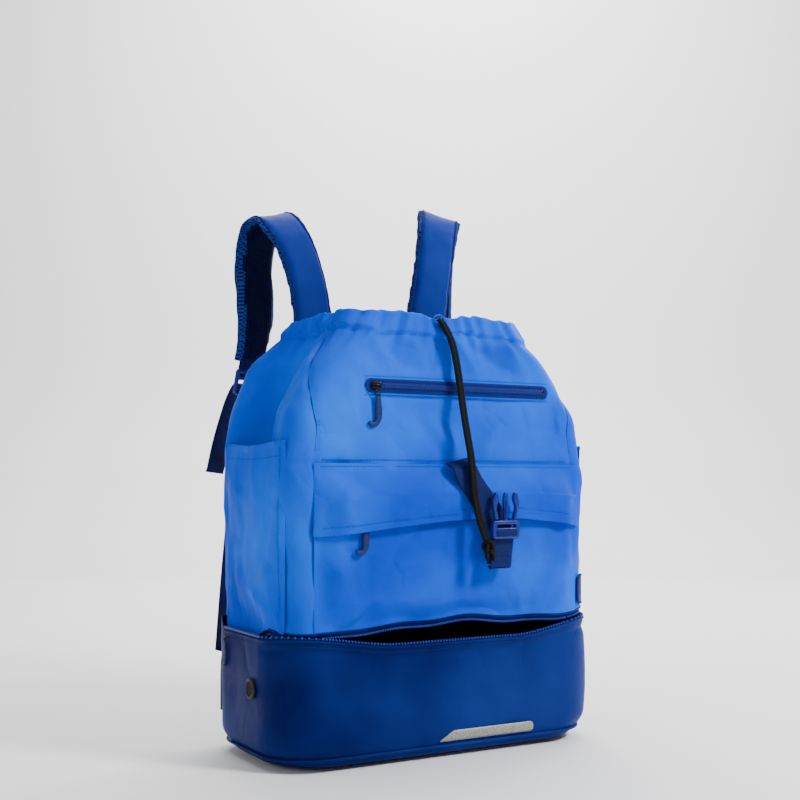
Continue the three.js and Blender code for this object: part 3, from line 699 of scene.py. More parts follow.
# Soft folds of the cloth on the front: both ends (x, z), half width and height, in millimetres.
FRONT_FOLDS = [
    (-96, 452, -60, 398, 9, 3.2), (-88, 440, -20, 372, 15, -3.2), (-104, 430, -112, 350, 13, 2.2),
    (-6, 448, -22, 400, 9, -3.0), (4, 446, 40, 398, 10, 3.4), (12, 440, 96, 396, 12, -2.8),
    (24, 436, 110, 426, 9, 2.4), (-40, 440, -24, 396, 12, 1.8), (60, 452, 104, 402, 12, 1.6),
    (-60, 370, -10, 318, 14, -2.0), (-30, 350, 14, 314, 12, 2.2), (14, 314, 60, 352, 13, -3.0),
    (36, 312, 84, 360, 12, 2.2), (96, 376, 150, 330, 15, 1.8), (-130, 372, -96, 330, 14, 1.6),
    (-150, 300, -90, 268, 17, -3.0), (-110, 300, -40, 280, 14, 2.4),
]
POCKET_FOLDS = [
    (-128, 150, -40, 214, 11, 2.6), (-118, 144, -20, 196, 12, -2.2), (-150, 214, -118, 150, 13, 2.0),
    (-146, 228, -60, 236, 14, -1.6), (20, 232, 30, 170, 16, -1.8), (120, 150, 156, 190, 13, -3.2),
    (98, 144, 152, 168, 10, 2.2), (60, 232, 118, 214, 14, 1.4), (-60, 150, 40, 160, 12, 1.4),
]

FLAP_FOLDS = [
    (-150, 300, -84, 262, 13, -2.6), (-112, 298, -40, 276, 12, 1.8), (-156, 280, -120, 240, 12, 1.2),
    (40, 300, 120, 290, 13, 1.2), (96, 258, 158, 282, 12, -1.6), (-20, 268, 30, 256, 13, -1.0),
]
# The same on a side pocket, with Y in place of X.
SIDE_FOLDS = [
    (-60, 152, 0, 178, 8, 2.4), (-50, 144, 20, 158, 8, -2.0), (-70, 200, -20, 160, 10, 1.8),
    (40, 220, 20, 150, 12, -2.0), (-20, 320, -40, 250, 12, 1.0),
]


def fold_height(x, z, folds):
    """How far the cloth stands out at (x, z), from the list of folds."""
    total = np.zeros_like(x)
    for x0, z0, x1, z1, width, height in folds:
        x0, z0, x1, z1, width, height = mm(x0, z0, x1, z1, width, height)
        dx, dz = x1 - x0, z1 - z0
        length = math.hypot(dx, dz)
        t = ((x - x0) * dx + (z - z0) * dz) / length ** 2
        across = ((x - x0) * dz - (z - z0) * dx) / length
        bow = across + 0.06 * length * np.sin(np.pi * np.clip(t, 0, 1))
        ends = smooth(-0.15, 0.3, t) * (1 - smooth(0.62, 1.2, t))
        total += height * np.exp(-np.abs(bow / width) ** 1.5) * ends
    return total


def rumple(points, scale, seed, stretch=(1, 1, 1)):
    flat = points.reshape(-1, 3) * stretch
    return np.array([fractal(*p, scale, seed=seed) for p in flat]).reshape(points.shape[:-1])


def corner_seam(points, heights, side):
    """The seam's point at each height, on that side's front corner."""
    shift = smooth(0.335, 0.452, heights) * (CORNER_COLS + 7)
    place = (FRONT_COLS - 1 + shift) if side > 0 else -shift
    low = np.floor(place).astype(int)
    part = (place - low)[:, None]
    count = points.shape[1]
    rows = np.arange(len(heights))
    return points[rows, low % count] * (1 - part) + points[rows, (low + 1) % count] * part


def hem_wave(x):
    """How far the hem's seam line strays up and down round the mouth."""
    return 0.0024 * np.sin(x * 41 + 0.6) + 0.0012 * np.sin(x * 97)


def lip_shift(points):
    """How the bag's lower edge rises and dips: it hangs at the front left corner and along both sides."""
    x, y, z = points[..., 0], points[..., 1], points[..., 2]
    shift = 0.0024 * np.sin(x * 31 + 1.1) + 0.0012 * np.sin(x * 74)
    shift = shift - 0.0095 * np.exp(-((x + 0.163) ** 2 + (y + 0.088) ** 2) / 0.045 ** 2)
    shift = shift - 0.0130 * smooth(0.176, 0.184, np.abs(x)) * smooth(-0.058, -0.018, y)
    return shift * smooth(0.172, 0.142, z) * (y < 0.05)


# Puckers in the mouth: place (x, y), half width, depth and how far down they run.
PUCKERS = [
    (-0.007, -0.078, 0.008, 0.0050, 0.040), (0.012, -0.077, 0.006, 0.0038, 0.030),
    (-0.094, -0.070, 0.007, 0.0065, 0.050), (-0.104, -0.030, 0.008, 0.0050, 0.030),
    (0.103, -0.040, 0.009, 0.0045, 0.030), (0.060, -0.076, 0.008, 0.0022, 0.028),
]
# The gathered hem rolled over and down the inside: distance in, and distance down from the mouth.
HEM_ROLL = ((0.0010, -0.0022), (0.0030, -0.0030), (0.0052, -0.0018), (0.0062, 0.003), (0.0064, 0.012),
            (0.0058, 0.022))


def build_upper_bag():
    """One continuous cloth body: front, folded gussets and back, with the gathered hem at its mouth."""
    heights = np.concatenate([np.linspace(BODY_BOTTOM, 0.4435, 78), np.linspace(0.4455, RIM - 0.003, 9)])
    rows = [np.column_stack([perimeter(z, 1 - smooth(0.44, 0.462, z)),
                             np.full(len(perimeter(z)), z)]) for z in heights]
    points = np.array(rows)
    normals = grid_normals(points)
    x, y, z = points[..., 0], points[..., 1], points[..., 2]
    on_front = smooth(0.3, 0.8, -normals[..., 1])
    on_back = smooth(0.3, 0.8, normals[..., 1])
    calm = smooth(0.026, 0.012, np.abs(z - TOP_ZIP_Z)) * smooth(-0.118, -0.104, x) * smooth(0.148, 0.132, x)
    lift = 2.1 * fold_height(x, z, FRONT_FOLDS) * on_front
    lift += 0.0034 * rumple(points, 12, 3.0) * (1 - 0.92 * on_back)
    lift *= 1 - 0.85 * calm * on_front
    creases = 0.0052 * (0.22 - np.abs(rumple(points, 9, 61.0)))
    lift += creases * (1 - 0.95 * on_back) * (1 - 0.85 * calm * on_front)
    lift += 0.0008 * rumple(points, 34, 9.0, (1, 1, 0.5)) * (1 - 0.6 * on_back)

    # Nothing bulges where the top zip's puller hangs and slides.
    path = smooth(0.330, 0.342, z) * smooth(0.412, 0.402, z)
    path = path * smooth(-0.125, -0.108, x) * smooth(0.152, 0.138, x)
    lift = np.minimum(lift, 0.0008 + 0.02 * (1 - path * on_front))

    # Gathers: pleats that deepen towards the drawn mouth.
    run = np.concatenate([[0], np.cumsum(np.linalg.norm(np.diff(points[-1, :, :2], axis=0), axis=1))])
    pleat = np.sin(run * 2 * np.pi / 0.021 + 2.2 * np.sin(run * 2 * np.pi / 0.13))
    pleat += 0.5 * np.sin(run * 2 * np.pi / 0.0125 + 1.0)
    lift += smooth(0.400, 0.455, z) * 0.0016 * pleat[None, :] * (1 - 0.5 * on_back)

    # The cord pulls a pucker where it leaves the hem, and another at the left front corner.
    for px, py, wide, deep, long in PUCKERS:
        near = np.exp(-((x - px) ** 2 + (y - py) ** 2) / wide ** 2)
        lift -= deep * near * smooth(RIM - long, RIM - 0.004, z)

    # Corner seams: straight up the front panel's edges, then round the corners near the mouth.
    for line in (corner_seam(points, heights, -1), corner_seam(points, heights, 1)):
        apart = np.linalg.norm(points - line[:, None, :], axis=2)
        lift -= 0.0026 * np.exp(-(apart / 0.0030) ** 2)
    lift -= 0.0014 * np.exp(-((z - SEAM) / 0.004) ** 2) * on_front

    hem_z = z - hem_wave(x)
    hem = smooth(0.4440, 0.4475, hem_z)
    lift += 0.0034 * hem - 0.0016 * np.exp(-((hem_z - 0.4440) / 0.0018) ** 2)
    points = points + normals * lift[..., None]

    # The mouth dips where the cord leaves and stands a little higher at the corners.
    top = points[..., 2] > 0.40
    dip = 0.0050 * np.exp(-((x + 0.004) / 0.026) ** 2) * (y < 0)
    dip = dip + 0.0035 * np.exp(-((x - 0.085) / 0.03) ** 2) * (y < 0)
    dip += 0.0014 * pleat[None, :] * smooth(0.455, RIM, z)
    points[..., 2] -= dip * smooth(0.40, RIM, z) * top

    # Over the top and down the inside of the hem.
    inward = normals[-1] * (1, 1, 0)
    roll = [points[-1] - inward * shift - np.array((0, 0, drop)) for shift, drop in HEM_ROLL]
    # Turned under at the bottom edge.
    low = points[0] - normals[0] * (1, 1, 0) * 0.0030 + np.array((0, 0, 0.001))
    points = np.concatenate([[low], points, roll])
    points[..., 2] += lip_shift(points)
    bag = grid_piece("upper_bag", points, AZURE, closed=True, thickness=0.0011, lining=LINING, subdivide=1)
    settle(bag, "bag", "azure_fabric", "front_panel", "right_side_panel", "left_side_panel", "back_panel",
           "drawstring_casing_front", "drawstring_casing_right", "drawstring_casing_back",
           "drawstring_casing_left")
    return points


BAG_POINTS = build_upper_bag()


# ---- shoe compartment -----------------------------------------------------------------------------
def lower_lip(x, y):
    """Height of the shoe compartment's open edge round the front and sides."""
    front = 0.1165 + 0.0125 * smooth(-0.06, -0.18, x) + 0.0150 * smooth(0.08, 0.19, x)
    side = np.where(x < 0, 0.1270, 0.1300 + 0.0015 * np.sin(y * 60))
    return front + (side - front) * smooth(-0.085, -0.045, y)


def build_base():
    """The shoe compartment's cloth: floor, rounded lower edge and walls up to the open lip."""
    plan = perimeter(0.1, 0.0)
    is_back = smooth(0.044, 0.056, plan[:, 1])
    rows = []
    bottom = perimeter(0.0, 0.0)
    centre = bottom.mean(axis=0)
    for share in (0.04, 0.35, 0.7, 0.93):
        rows.append(np.column_stack([centre + (bottom - centre) * share, np.full(len(plan), 0.0004)]))
    for z in (0.0006, 0.002, 0.005, 0.009, 0.014):
        flat = perimeter(z, 0.0)
        rows.append(np.column_stack([flat, np.full(len(flat), z)]))
    lip = lower_lip(plan[:, 0], plan[:, 1])
    top = lip + (0.141 - lip) * is_back
    for share in np.linspace(0.02, 1, 34):
        height = 0.018 + (top - 0.018) * ((share - 0.02) / 0.98)
        shape = [perimeter(float(h), 0.0)[k] for k, h in enumerate(np.minimum(height, 0.122))]
        rows.append(np.column_stack([np.array(shape), height]))
    points = np.array(rows)
    normals = grid_normals(points)
    z = points[..., 2]
    x, y = points[..., 0], points[..., 1]
    body = smooth(0.004, 0.03, z)
    lift = 0.0016 * rumple(points, 8, 5.0) * body + 0.0005 * rumple(points, 30, 2.0) * body
    lift += 0.0040 * np.sin(np.pi * np.clip(z / 0.12, 0, 1)) * smooth(0.15, 0.195, x) * (y < 0.02)
    lift -= 0.0034 * np.exp(-(((x + 0.075) / 0.06) ** 2 + ((z - 0.085) / 0.026) ** 2)) * (y < 0)
    lift += 0.0022 * np.exp(-(((x + 0.168) / 0.016) ** 2)) * smooth(0.02, 0.10, z) * (y < -0.04)
    under_lip = np.exp(-((z - lower_lip(x, y) + 0.010) / 0.004) ** 2)
    lift -= 0.0020 * under_lip * (1 - is_back)[None, :] * (z > 0.09)
    lift *= 1 - 0.92 * smooth(-0.18, -0.19, x) * smooth(-0.060, -0.045, y) * smooth(0.075, 0.095, z)
    points = points + normals * lift[..., None] * smooth(0.001, 0.006, z)[..., None]
    base = grid_piece("shoe_compartment", points, NAVY, closed=True, thickness=0.0012, lining=LINING,
                      subdivide=1)
    settle(base, "bag", "navy_fabric", "base_floor", "base_front_panel", "base_left_panel",
           "base_right_panel")
    return points


BASE_POINTS = build_base()
BASE_TOP_ROW = BASE_POINTS[-1]
OPENING_END_Y = 0.046           # the shoe opening runs round the front and sides to here


def open_run(row):
    """The part of a closed row round the front and sides, from the left rear to the right rear."""
    order = np.roll(np.arange(len(row)), -(FRONT_COLS + 2 * CORNER_COLS + SIDE_COLS + BACK_COLS // 2 + 2))
    run = row[order]
    return run[run[:, 1] < OPENING_END_Y]


# ---- pockets --------------------------------------------------------------------------------------
def pocket_plan(side, z, count=64):
    """Plan line of a side pocket: round the front corner, bowed out along the side, to the rear."""
    half, rear, front, back, corner = outline(min(z, 0.305))
    wrap, bulge = (34, 0.0025) if side < 0 else (18, 0.0080)
    bend = arc(half - corner, -front + corner, corner + 0.0024, -wrap, 0, 9)
    t = np.linspace(0, 1, 12)[1:]
    y = (-front + corner) + t * (front + back - 2 * corner)
    x = half + 0.0024 + (rear - half) * t + bulge * np.sin(np.pi * t)
    line = np.vstack([bend, np.column_stack([x, y])])
    run = resample(np.column_stack([line, np.zeros(len(line))]), count)[:, :2]
    return run * (side, 1) if side > 0 else (run * (-1, 1))[::-1]


def build_side_pocket(name, side):
    """An open pocket up one side, with a stitched hem at its mouth."""
    heights = np.linspace(BODY_BOTTOM + 0.001, POCKET_TOP, 60)
    points = np.array([np.column_stack([pocket_plan(side, z), np.full(64, z)]) for z in heights])
    normals = grid_normals(points, closed=False)
    y, z = points[..., 1], points[..., 2]
    across = np.linspace(0, 1, 64)[None, :]
    sewn = smooth(0, 0.05, across) * (1 - smooth(0.95, 1, across))
    lift = 0.0050 * (0.2 - np.abs(rumple(points, 9, 3.0 + side))) + 0.0026 * rumple(points, 10, 7.0 + side)
    lift = lift + 0.0007 * rumple(points, 36, 1.0, (1, 1, 0.4))
    for fold in SIDE_FOLDS:
        lift += 1.7 * fold_height(y, z, [fold])
    lift = lift * sewn - 0.0016 * (1 - sewn)
    lift += 0.0012 * np.exp(-((z - (POCKET_TOP - 0.002)) / 0.0022) ** 2)
    lift -= 0.0006 * np.exp(-((z - (POCKET_TOP - 0.017)) / 0.0012) ** 2)
    lift -= 0.0012 * smooth(0.150, 0.141, z)
    points = points + normals * lift[..., None]
    points[..., 2] += lip_shift(points)
    sag = 0.0035 * np.sin(np.pi * across[0]) ** 2
    points[..., 2] -= sag[None, :] * smooth(0.28, POCKET_TOP, z)
    hem = points[-1] - normals[-1] * 0.0022 - (0, 0, 0.0010)
    inner = points[-1] - normals[-1] * 0.0030 - (0, 0, 0.016)
    rows = np.concatenate([points, [hem, inner]])
    pocket = grid_piece(f"{name}_pocket_cloth", rows, POCKET_AZURE, thickness=0.0009, lining=LINING,
                        subdivide=1)
    settle(pocket, "bag", "azure_fabric", f"{name}_side_pocket")
    row = int(np.argmin(np.abs(heights - (POCKET_TOP - 0.0165))))
    line = points[row, 2:-2] + normals[row, 2:-2] * 0.0002
    thread = stitches(f"{name}_pocket_hem_stitch", line, normals[row, 32], THREAD)
    settle(thread, "bag", "azure_fabric")
    column = 3 if side > 0 else -4
    edge = points[4:-2, column] + normals[4:-2, column] * 0.0003
    seam = stitches(f"{name}_pocket_edge_stitch", edge, normals[20, column], THREAD)
    settle(seam, "bag", "azure_fabric")


for pocket_name, pocket_side in (("left", -1), ("right", 1)):
    build_side_pocket(pocket_name, pocket_side)

PANEL_COLS = 125


def panel_base(x, z):
    """The bag's own front under the front pocket, clear of its cloth."""
    shapes = np.array([outline(float(h)) for h in np.ravel(z)]).reshape(np.shape(z) + (5,))
    half, front, corner = shapes[..., 0], shapes[..., 2], shapes[..., 4]
    round_by = np.clip(np.abs(x) - (half - corner), 0, 0.9 * corner)
    return corner - front - np.sqrt(corner ** 2 - round_by ** 2) - 0.0014


def inset(x, grow=0.0):
    """Distance in from the nearer upright edge of the front pocket."""
    return np.minimum(x - PANEL_LEFT + grow, PANEL_RIGHT + grow - x)


def build_front_pocket():
    """The front pocket's bellied panel and its zip."""
    heights = np.linspace(0.1425, 0.2470, 58)
    x, z = np.meshgrid(np.linspace(PANEL_LEFT, PANEL_RIGHT, PANEL_COLS), heights)
    out = smooth(0, 0.027, inset(x)) * smooth(0.138, 0.168, z)
    y = panel_base(x, z) - 0.0118 * out
    points = np.stack([x, y, z], axis=-1)
    lift = 1.6 * fold_height(x, z, POCKET_FOLDS) + 0.0024 * rumple(points, 11, 21.0)
    lift = lift + 0.0006 * rumple(points, 38, 4.0)
    lift += 0.0060 * (0.2 - np.abs(rumple(points, 9, 5.0)))
    points[..., 1] -= np.clip(lift * smooth(0, 0.0145, inset(x)) * smooth(0.1425, 0.150, z), -0.0050,
                                0.0044 - 0.0036 * smooth(0.190, 0.212, z))
    points[..., 2] += lip_shift(points)
    tuck = points[0] + (0, 0.0022, 0.0006)
    panel = grid_piece("front_pocket_cloth", np.concatenate([[tuck], points]), POCKET_AZURE, thickness=0.0010,
                       lining=LINING, subdivide=1)
    settle(panel, "bag", "azure_fabric", "front_pocket_panel")

    # The pocket's own zip, in the shade of the flap.
    line = resample([(-0.128, -0.1079, 0.2530), (0, -0.1083, 0.2530), (0.128, -0.1079, 0.2530)], 90)
    rows = [line + (0, 0.0006 * abs(k), 0.0064 * k) for k in (-1, -0.5, 0, 0.5, 1)]
    tape = grid_piece("front_pocket_zip_tape", np.array(rows), TAPE, thickness=0.0008)
    teeth = zip_teeth("front_pocket_zip_teeth", line - (0, 0.0004, 0), (0, -1, 0), (0, 0, 1), COIL,
                      pitch=0.0022, width=0.0046)
    settle(join("front_pocket_zip_run", [tape, teeth]), "bag", "zip_tape", "front_pocket_zip")


def flap_edge(x):
    """Height of the flap's hem across the front."""
    nodes = np.array([-0.162, -0.11, -0.07, -0.02, 0.03, 0.08, 0.125, 0.169])
    return np.interp(x, nodes, [0.2315, 0.2365, 0.2410, 0.2455, 0.2480, 0.2470, 0.2425, 0.2365])


def build_storm_flap():
    """The flap over the front pocket's zip: sewn at its top and both ends, its hem turned in."""
    down = np.linspace(0, 1, 44)
    x, t = np.meshgrid(np.linspace(FLAP_LEFT, FLAP_RIGHT, PANEL_COLS), down)
    z = (SEAM + 0.001) + (flap_edge(x) - SEAM - 0.001) * t
    belly = 0.0182 * smooth(0, 0.52, t) ** 0.85
    out = smooth(0, 0.032, inset(x, 0.001)) * 0.86 + 0.14 * smooth(0, 0.0045, inset(x, 0.001))
    y = panel_base(x, np.minimum(z, SEAM)) - 0.0008 - belly * out
    points = np.stack([x, y, z], axis=-1)
    lift = 1.6 * fold_height(x, z, FLAP_FOLDS) + 0.0022 * rumple(points, 12, 33.0)
    lift += 0.0060 * (0.2 - np.abs(rumple(points, 10, 15.0)))
    lift *= smooth(0, 0.012, inset(x, 0.001)) * smooth(0, 0.18, t)
    points[..., 1] -= np.clip(lift, np.where(t > 0.5, 0.0, -0.0040), 0.0026)
    hem_in = points[-1] + (0, 0.0007, 0.0004)
    hem_up = points[-1] + (0, 0.0009, 0.0120)
    rows = np.concatenate([points, [hem_in, hem_up]])[::-1]
    flap = grid_piece("storm_flap_cloth", rows, POCKET_AZURE, thickness=0.0009, subdivide=1)
    settle(flap, "bag", "azure_fabric", "storm_flap")
    rows = ((2, "storm_flap_seam_stitch"), (38, "storm_flap_hem_stitch"))
    for row, name in rows:
        thread = stitches(name, points[row, 3:-3] - (0, 0.0003, 0), (0, -1, 0), THREAD)
        settle(thread, "bag", "azure_fabric")


build_front_pocket()
build_storm_flap()


def build_seam_stitches():
    """Top stitching beside the corner seams, above the storm flap and under the gathered hem, and a dark line
    of painted shade down each corner seam.
    """
    threads, seams = [], []
    heights = BAG_POINTS[1:-6, 0, 2]
    for side in (-1, 1):
        line = corner_seam(BAG_POINTS[1:-6], heights, side)
        line = line[(heights > 0.316) & (heights < 0.440)]
        out = unit((side * 0.7, -1, 0))
        # A dark tube along each corner seam: painted shade of its groove.
        seams.append(tube("corner_seam", line + out * 0.0002, 0.0007, SEAM_SHADE_LINE, sides=6, steps=len(line)))
        threads.append(stitches("corner_stitch", line + out * 0.0010 - (side * 0.0034, 0, 0), out, THREAD))
    row = 1 + int(np.argmin(np.abs(heights - SEAM - 0.0052)))
    line = BAG_POINTS[row, 2:FRONT_COLS - 2] - (0, 0.0005, 0)
    threads.append(stitches("flap_seam_stitch", line, (0, -1, 0), THREAD))
    hem_z = 0.4437
    hem_rows = np.array([int(np.argmin(np.abs(heights - hem_z - hem_wave(a)))) for a in BAG_POINTS[70, :, 0]])
    ring = BAG_POINTS[1 + hem_rows, np.arange(len(hem_rows))]
    ring[:, 2] = hem_z + hem_wave(ring[:, 0])
    outward = unit(ring * (1, 1, 0))
    for part in np.array_split(np.arange(4, FRONT_COLS - 4), 6):
        cut = np.append(part, part[-1] + 1)
        threads.append(stitches("mouth_hem_stitch", ring[cut] + outward[cut] * 0.0009,
                                outward[part[len(part) // 2]], THREAD))
    settle(join("top_stitching_and_seam_shade", threads + seams), "bag", "azure_fabric")


build_seam_stitches()


# ---- zips, sliders and pullers --------------------------------------------------------------------
def build_top_zip():
    z, left, right = TOP_ZIP_Z, TOP_ZIP_LEFT, TOP_ZIP_RIGHT
    count = 116
    x = np.linspace(left, right, count)
    reach = np.minimum(x - left, right - x)
    width = TOP_ZIP_HALF * np.sqrt(np.clip(1 - (1 - np.clip(reach / 0.006, 0, 1)) ** 2, 0.02, 1))

    def strip(name, scale, out, material, thickness):
        rows = []
        for k in np.linspace(-1, 1, 9):
            height = z + k * width * scale
            rows.append([(a, front_y(float(h)) - out, h) for a, h in zip(x, height)])
        return grid_piece(name, np.array(rows), material, thickness=thickness)

    welt = strip("top_zip_welt", 1.32, 0.0014, AZURE, 0.0009)
    settle(welt, "bag", "azure_fabric")
    tape = strip("top_zip_ground", 1.0, 0.0022, TAPE, 0.0009)
    y = front_y(z)

    def seams(beyond, out, lift, material, radius):
        """A seam above the teeth and one below, starting beyond the tape's ends."""
        return [stitches("seam", [(a, front_y(z + s) - out, z + s) for a in (left - beyond, right + beyond)],
                         (0, -1, 0), material, pitch=0.003, length=0.0022, radius=radius)
                for s in (lift, -lift)]

    threads = seams(-0.005, 0.0024, 0.0050, NAVY_THREAD, 0.00026)
    outer = seams(0.001, 0.0016, 0.0098, THREAD, 0.00028)
    settle(join("top_zip_tape_cloth", [tape] + threads), "bag", "zip_tape", "top_zip_tape")
    settle(join("top_zip_outer_stitch", outer), "bag", "azure_fabric")
    rows = []
    for shift, flip in ((0.0013, 1), (-0.0013, -1)):
        path = resample([(left + 0.009, y - 0.0024, z + shift), (right - 0.009, y - 0.0024, z + shift)], 120)
        rows.append(zip_teeth("teeth", path, (0, -1, 0), (0.5 * flip, 0, 1), COIL, pitch=0.00215,
                              width=0.0034))
    stops = [plate("stop", [rounded(0.0028, 0.0062, 0.0012)], 0.0016, 0.0004, facing(a, y - 0.0030, z), METAL)
             for a in (left + 0.0072, right - 0.0072)]
    settle(join("top_zip_teeth", rows + stops), "bag", "zip_coil", "top_zip_coil")


def slider_shape(name, place, size=1.0):
    """Zip slider: shield body with a waist, side flanges and a bridge; pull end towards -X."""
    upper = [(-5.6, 1.5), (-4.4, 3.4), (-1.0, 4.0), (2.2, 3.0), (4.6, 3.9), (5.6, 2.6)]
    outline_2d = upper + [(x, -y) for x, y in upper[::-1]]
    body = plate(name + "_shield", [[(x * size / 1000, y * size / 1000) for x, y in outline_2d]],
                 0.0018, 0.0005, place, METAL)
    arch = [(-3.6, 0, 0.8), (-3.3, 0, 2.3), (-1.6, 0, 3.0), (1.4, 0, 3.0), (3.2, 0, 2.2), (3.6, 0, 0.8)]
    bridge = tube(name + "_bridge", [tuple(c * size / 1000 for c in p) for p in arch], 0.00085 * size, METAL,
                  steps=22, across=(0, 1, 0))
    bridge.data.transform(place)
    return join(name, [body, bridge])


def puller_shape(name, place, length=0.032):
    """Soft moulded pull tab: a flat bar ending in a hook, with plain grip ribs and an eye at its top."""
    route = [(0, -1, 0), (0.2, -8, 0), (0.5, -17, 0), (-0.2, -24, 0), (-3.0, -28.4, 0), (-7.6, -29.2, 0),
             (-10.6, -26.6, 0)]
    points = resample([mm(*p) for p in route], 46)
    scale = length / 0.032

    def section(t):
        width = 0.0056 + 0.0022 * math.sin(math.pi * min(t * 1.25, 1.0)) ** 2
        width *= 1 - 0.45 * max(0.0, (t - 0.9) / 0.1)
        return band(width, 0.0026, 0.48, 4)

    tangent = unit(np.gradient(points, axis=0))
    side = unit(np.cross((0, 0, 1), tangent))
    rings = [[points[k] + side[k] * w + np.array((0, 0, h)) for w, h in section(k / 45)] for k in range(46)]
    body = ring_solid(name + "_bar", np.array(rings) * scale, PULLER)
    ribs = []
    for k in range(12, 32, 4):
        for h in (0.00125, -0.00125):
            middle = points[k] * scale
            bar = [middle + side[k] * s * 0.0024 + (0, 0, h) for s in (-1, 0, 1)]
            ribs.append(tube("rib", bar, 0.00042, PULLER, sides=6, steps=5, across=(0, 0, 1)))
    eye = loop_tube(name + "_eye", [(0.0017 * math.cos(a), 0.0006 + 0.0020 * math.sin(a), 0)
                                    for a in turns(18)], 0.0007, METAL)
    obj = join(name, [body, eye] + ribs)
    obj.data.transform(place)
    fix_normals(obj)
    return obj


def ring_shape(name, centre, radius, wire, tilt):
    turn = Euler(tilt).to_matrix()
    points = [tuple(Vector(centre) + turn @ Vector((radius * math.cos(a), radius * math.sin(a), 0)))
              for a in turns(28)]
    return loop_tube(name, points, wire, METAL)


def build_pullers():
    y = front_y(TOP_ZIP_Z)
    slider = slider_shape("top_zip_slider", facing(-0.088, y - 0.0042, TOP_ZIP_Z))
    settle(slider, "top_slider", "slider_metal", "top_slider")
    ring = ring_shape("top_zip_ring", (-0.088, y - 0.0060, 0.3782), 0.0030, 0.00062,
                      (math.radians(90), 0, math.radians(8)))
    settle(ring, "top_puller", "slider_metal", "top_pull_ring")
    pull = puller_shape("top_zip_puller", facing(-0.0875, y - 0.0066, 0.3748))
    settle(pull, "top_puller", "puller", "top_puller")

    slider = slider_shape("pocket_zip_slider", facing(-0.110, -0.1092, 0.2532), size=0.9)
    settle(slider, "pocket_slider", "slider_metal", "pocket_slider")
    pull = puller_shape("pocket_zip_puller", facing(-0.110, -0.1106, 0.2452))
    settle(pull, "pocket_puller", "puller", "pocket_puller")

    turn = math.radians(-90)
    slider = slider_shape("shoe_zip_slider", Matrix.Translation((-0.1978, 0.035, 0.1210))
                          @ Matrix.Rotation(turn, 4, "Z") @ Matrix.Rotation(math.radians(90), 4, "X"))
    settle(slider, "shoe_slider", "slider_metal", "shoe_slider")
    pull = puller_shape("shoe_zip_puller", facing(-0.2022, 0.036, 0.1180, turn=turn), length=0.029)
    settle(pull, "shoe_puller", "puller", "shoe_puller")


build_top_zip()
build_pullers()


def build_shoe_zip():
    lower = open_run(BASE_TOP_ROW)
    outward = outward_of(lower)
    inset = lower - outward * 0.0026
    rows = [inset + (0, 0, dz) + outward * out for dz, out in
            ((-0.011, 0.0), (-0.006, 0.0002), (0.0, 0.0006), (0.0022, 0.0012), (0.0034, 0.0018))]
    tape = grid_piece("tape", np.array(rows), TAPE, thickness=0.0009)
    teeth = teeth_round("teeth", inset + (0, 0, 0.0036) + outward * 0.0018, outward, COIL, up=1)
    settle(join("shoe_zip_lower", [tape, teeth]), "bag", "zip_tape", "shoe_zip_lower_tape")
    binding = tube("shoe_lip_binding", lower - outward * 0.0004 + (0, 0, 0.0002), 0.0017, NAVY, sides=10,
                   steps=len(lower))
    settle(binding, "bag", "navy_fabric")
    thread = stitches("shoe_lip_stitch", lower + outward * 0.0004 - (0, 0, 0.0048),
                      outward[len(outward) // 2], NAVY_THREAD)
    settle(thread, "bag", "navy_fabric")

    upper = open_run(BAG_POINTS[0])
    outward = outward_of(upper)
    rows = [upper + (0, 0, dz) + outward * out for dz, out in
            ((0.004, -0.0008), (0.0, -0.0004), (-0.0026, 0.0002), (-0.0040, 0.0008))]
    tape = grid_piece("tape", np.array(rows)[::-1], TAPE, thickness=0.0009)
    teeth = teeth_round("teeth", upper + (0, 0, -0.0044) + outward * 0.0008, outward, COIL, up=-1)
    settle(join("shoe_zip_upper", [tape, teeth]), "bag", "zip_tape", "shoe_zip_upper_tape")
    binding = tube("bag_lip_binding", upper + outward * 0.0022 + (0, 0, 0.0008), 0.0014, NAVY, sides=8,
                   steps=len(upper))
    settle(binding, "bag", "navy_fabric")


def outward_of(line):
    """The level direction away from the bag at each point of a run round it."""
    outward = unit(np.gradient(line, axis=0))[:, [1, 0, 2]] * (1, -1, 0)
    if (outward * line).sum() < 0:
        outward = -outward
    return unit(outward * (1, 1, 0))


def teeth_round(name, line, outward, material, up=1, pitch=0.0032):
    """Teeth standing off the edge of a curved tape."""
    count = int(length_of(line) / pitch)
    index = np.linspace(0, len(line) - 1, count)
    centres, outs = (np.column_stack([np.interp(index, np.arange(len(line)), values[:, k]) for k in range(3)])
                     for values in (line, outward))
    tangents = unit(np.gradient(centres, axis=0))
    solids = [[[c + t * u * 0.0010 * size + o * v * 0.0013 * size + np.array((0, 0, up * h))
                for u, v in ((-1, -1), (1, -1), (1, 1), (-1, 1))]
               for h, size in ((-0.0012, 0.9), (0.0004, 1.0), (0.0014, 0.6))]
              for c, o, t in zip(centres, outs, tangents)]
    obj = beads(name, solids, material)
    fix_normals(obj)
    return obj


build_shoe_zip()


# ---- base details ---------------------------------------------------------------------------------
def build_piping():
    plan = perimeter(0.011, 0.0)
    around = np.column_stack([plan, np.full(len(plan), 0.0088)])
    outward = unit(np.roll(around, -1, axis=0) - np.roll(around, 1, axis=0))[:, [1, 0, 2]] * (1, -1, 0)
    piping = loop_tube("base_piping", around + outward * 0.0006, 0.0016, NAVY)
    settle(piping, "bag", "navy_fabric")


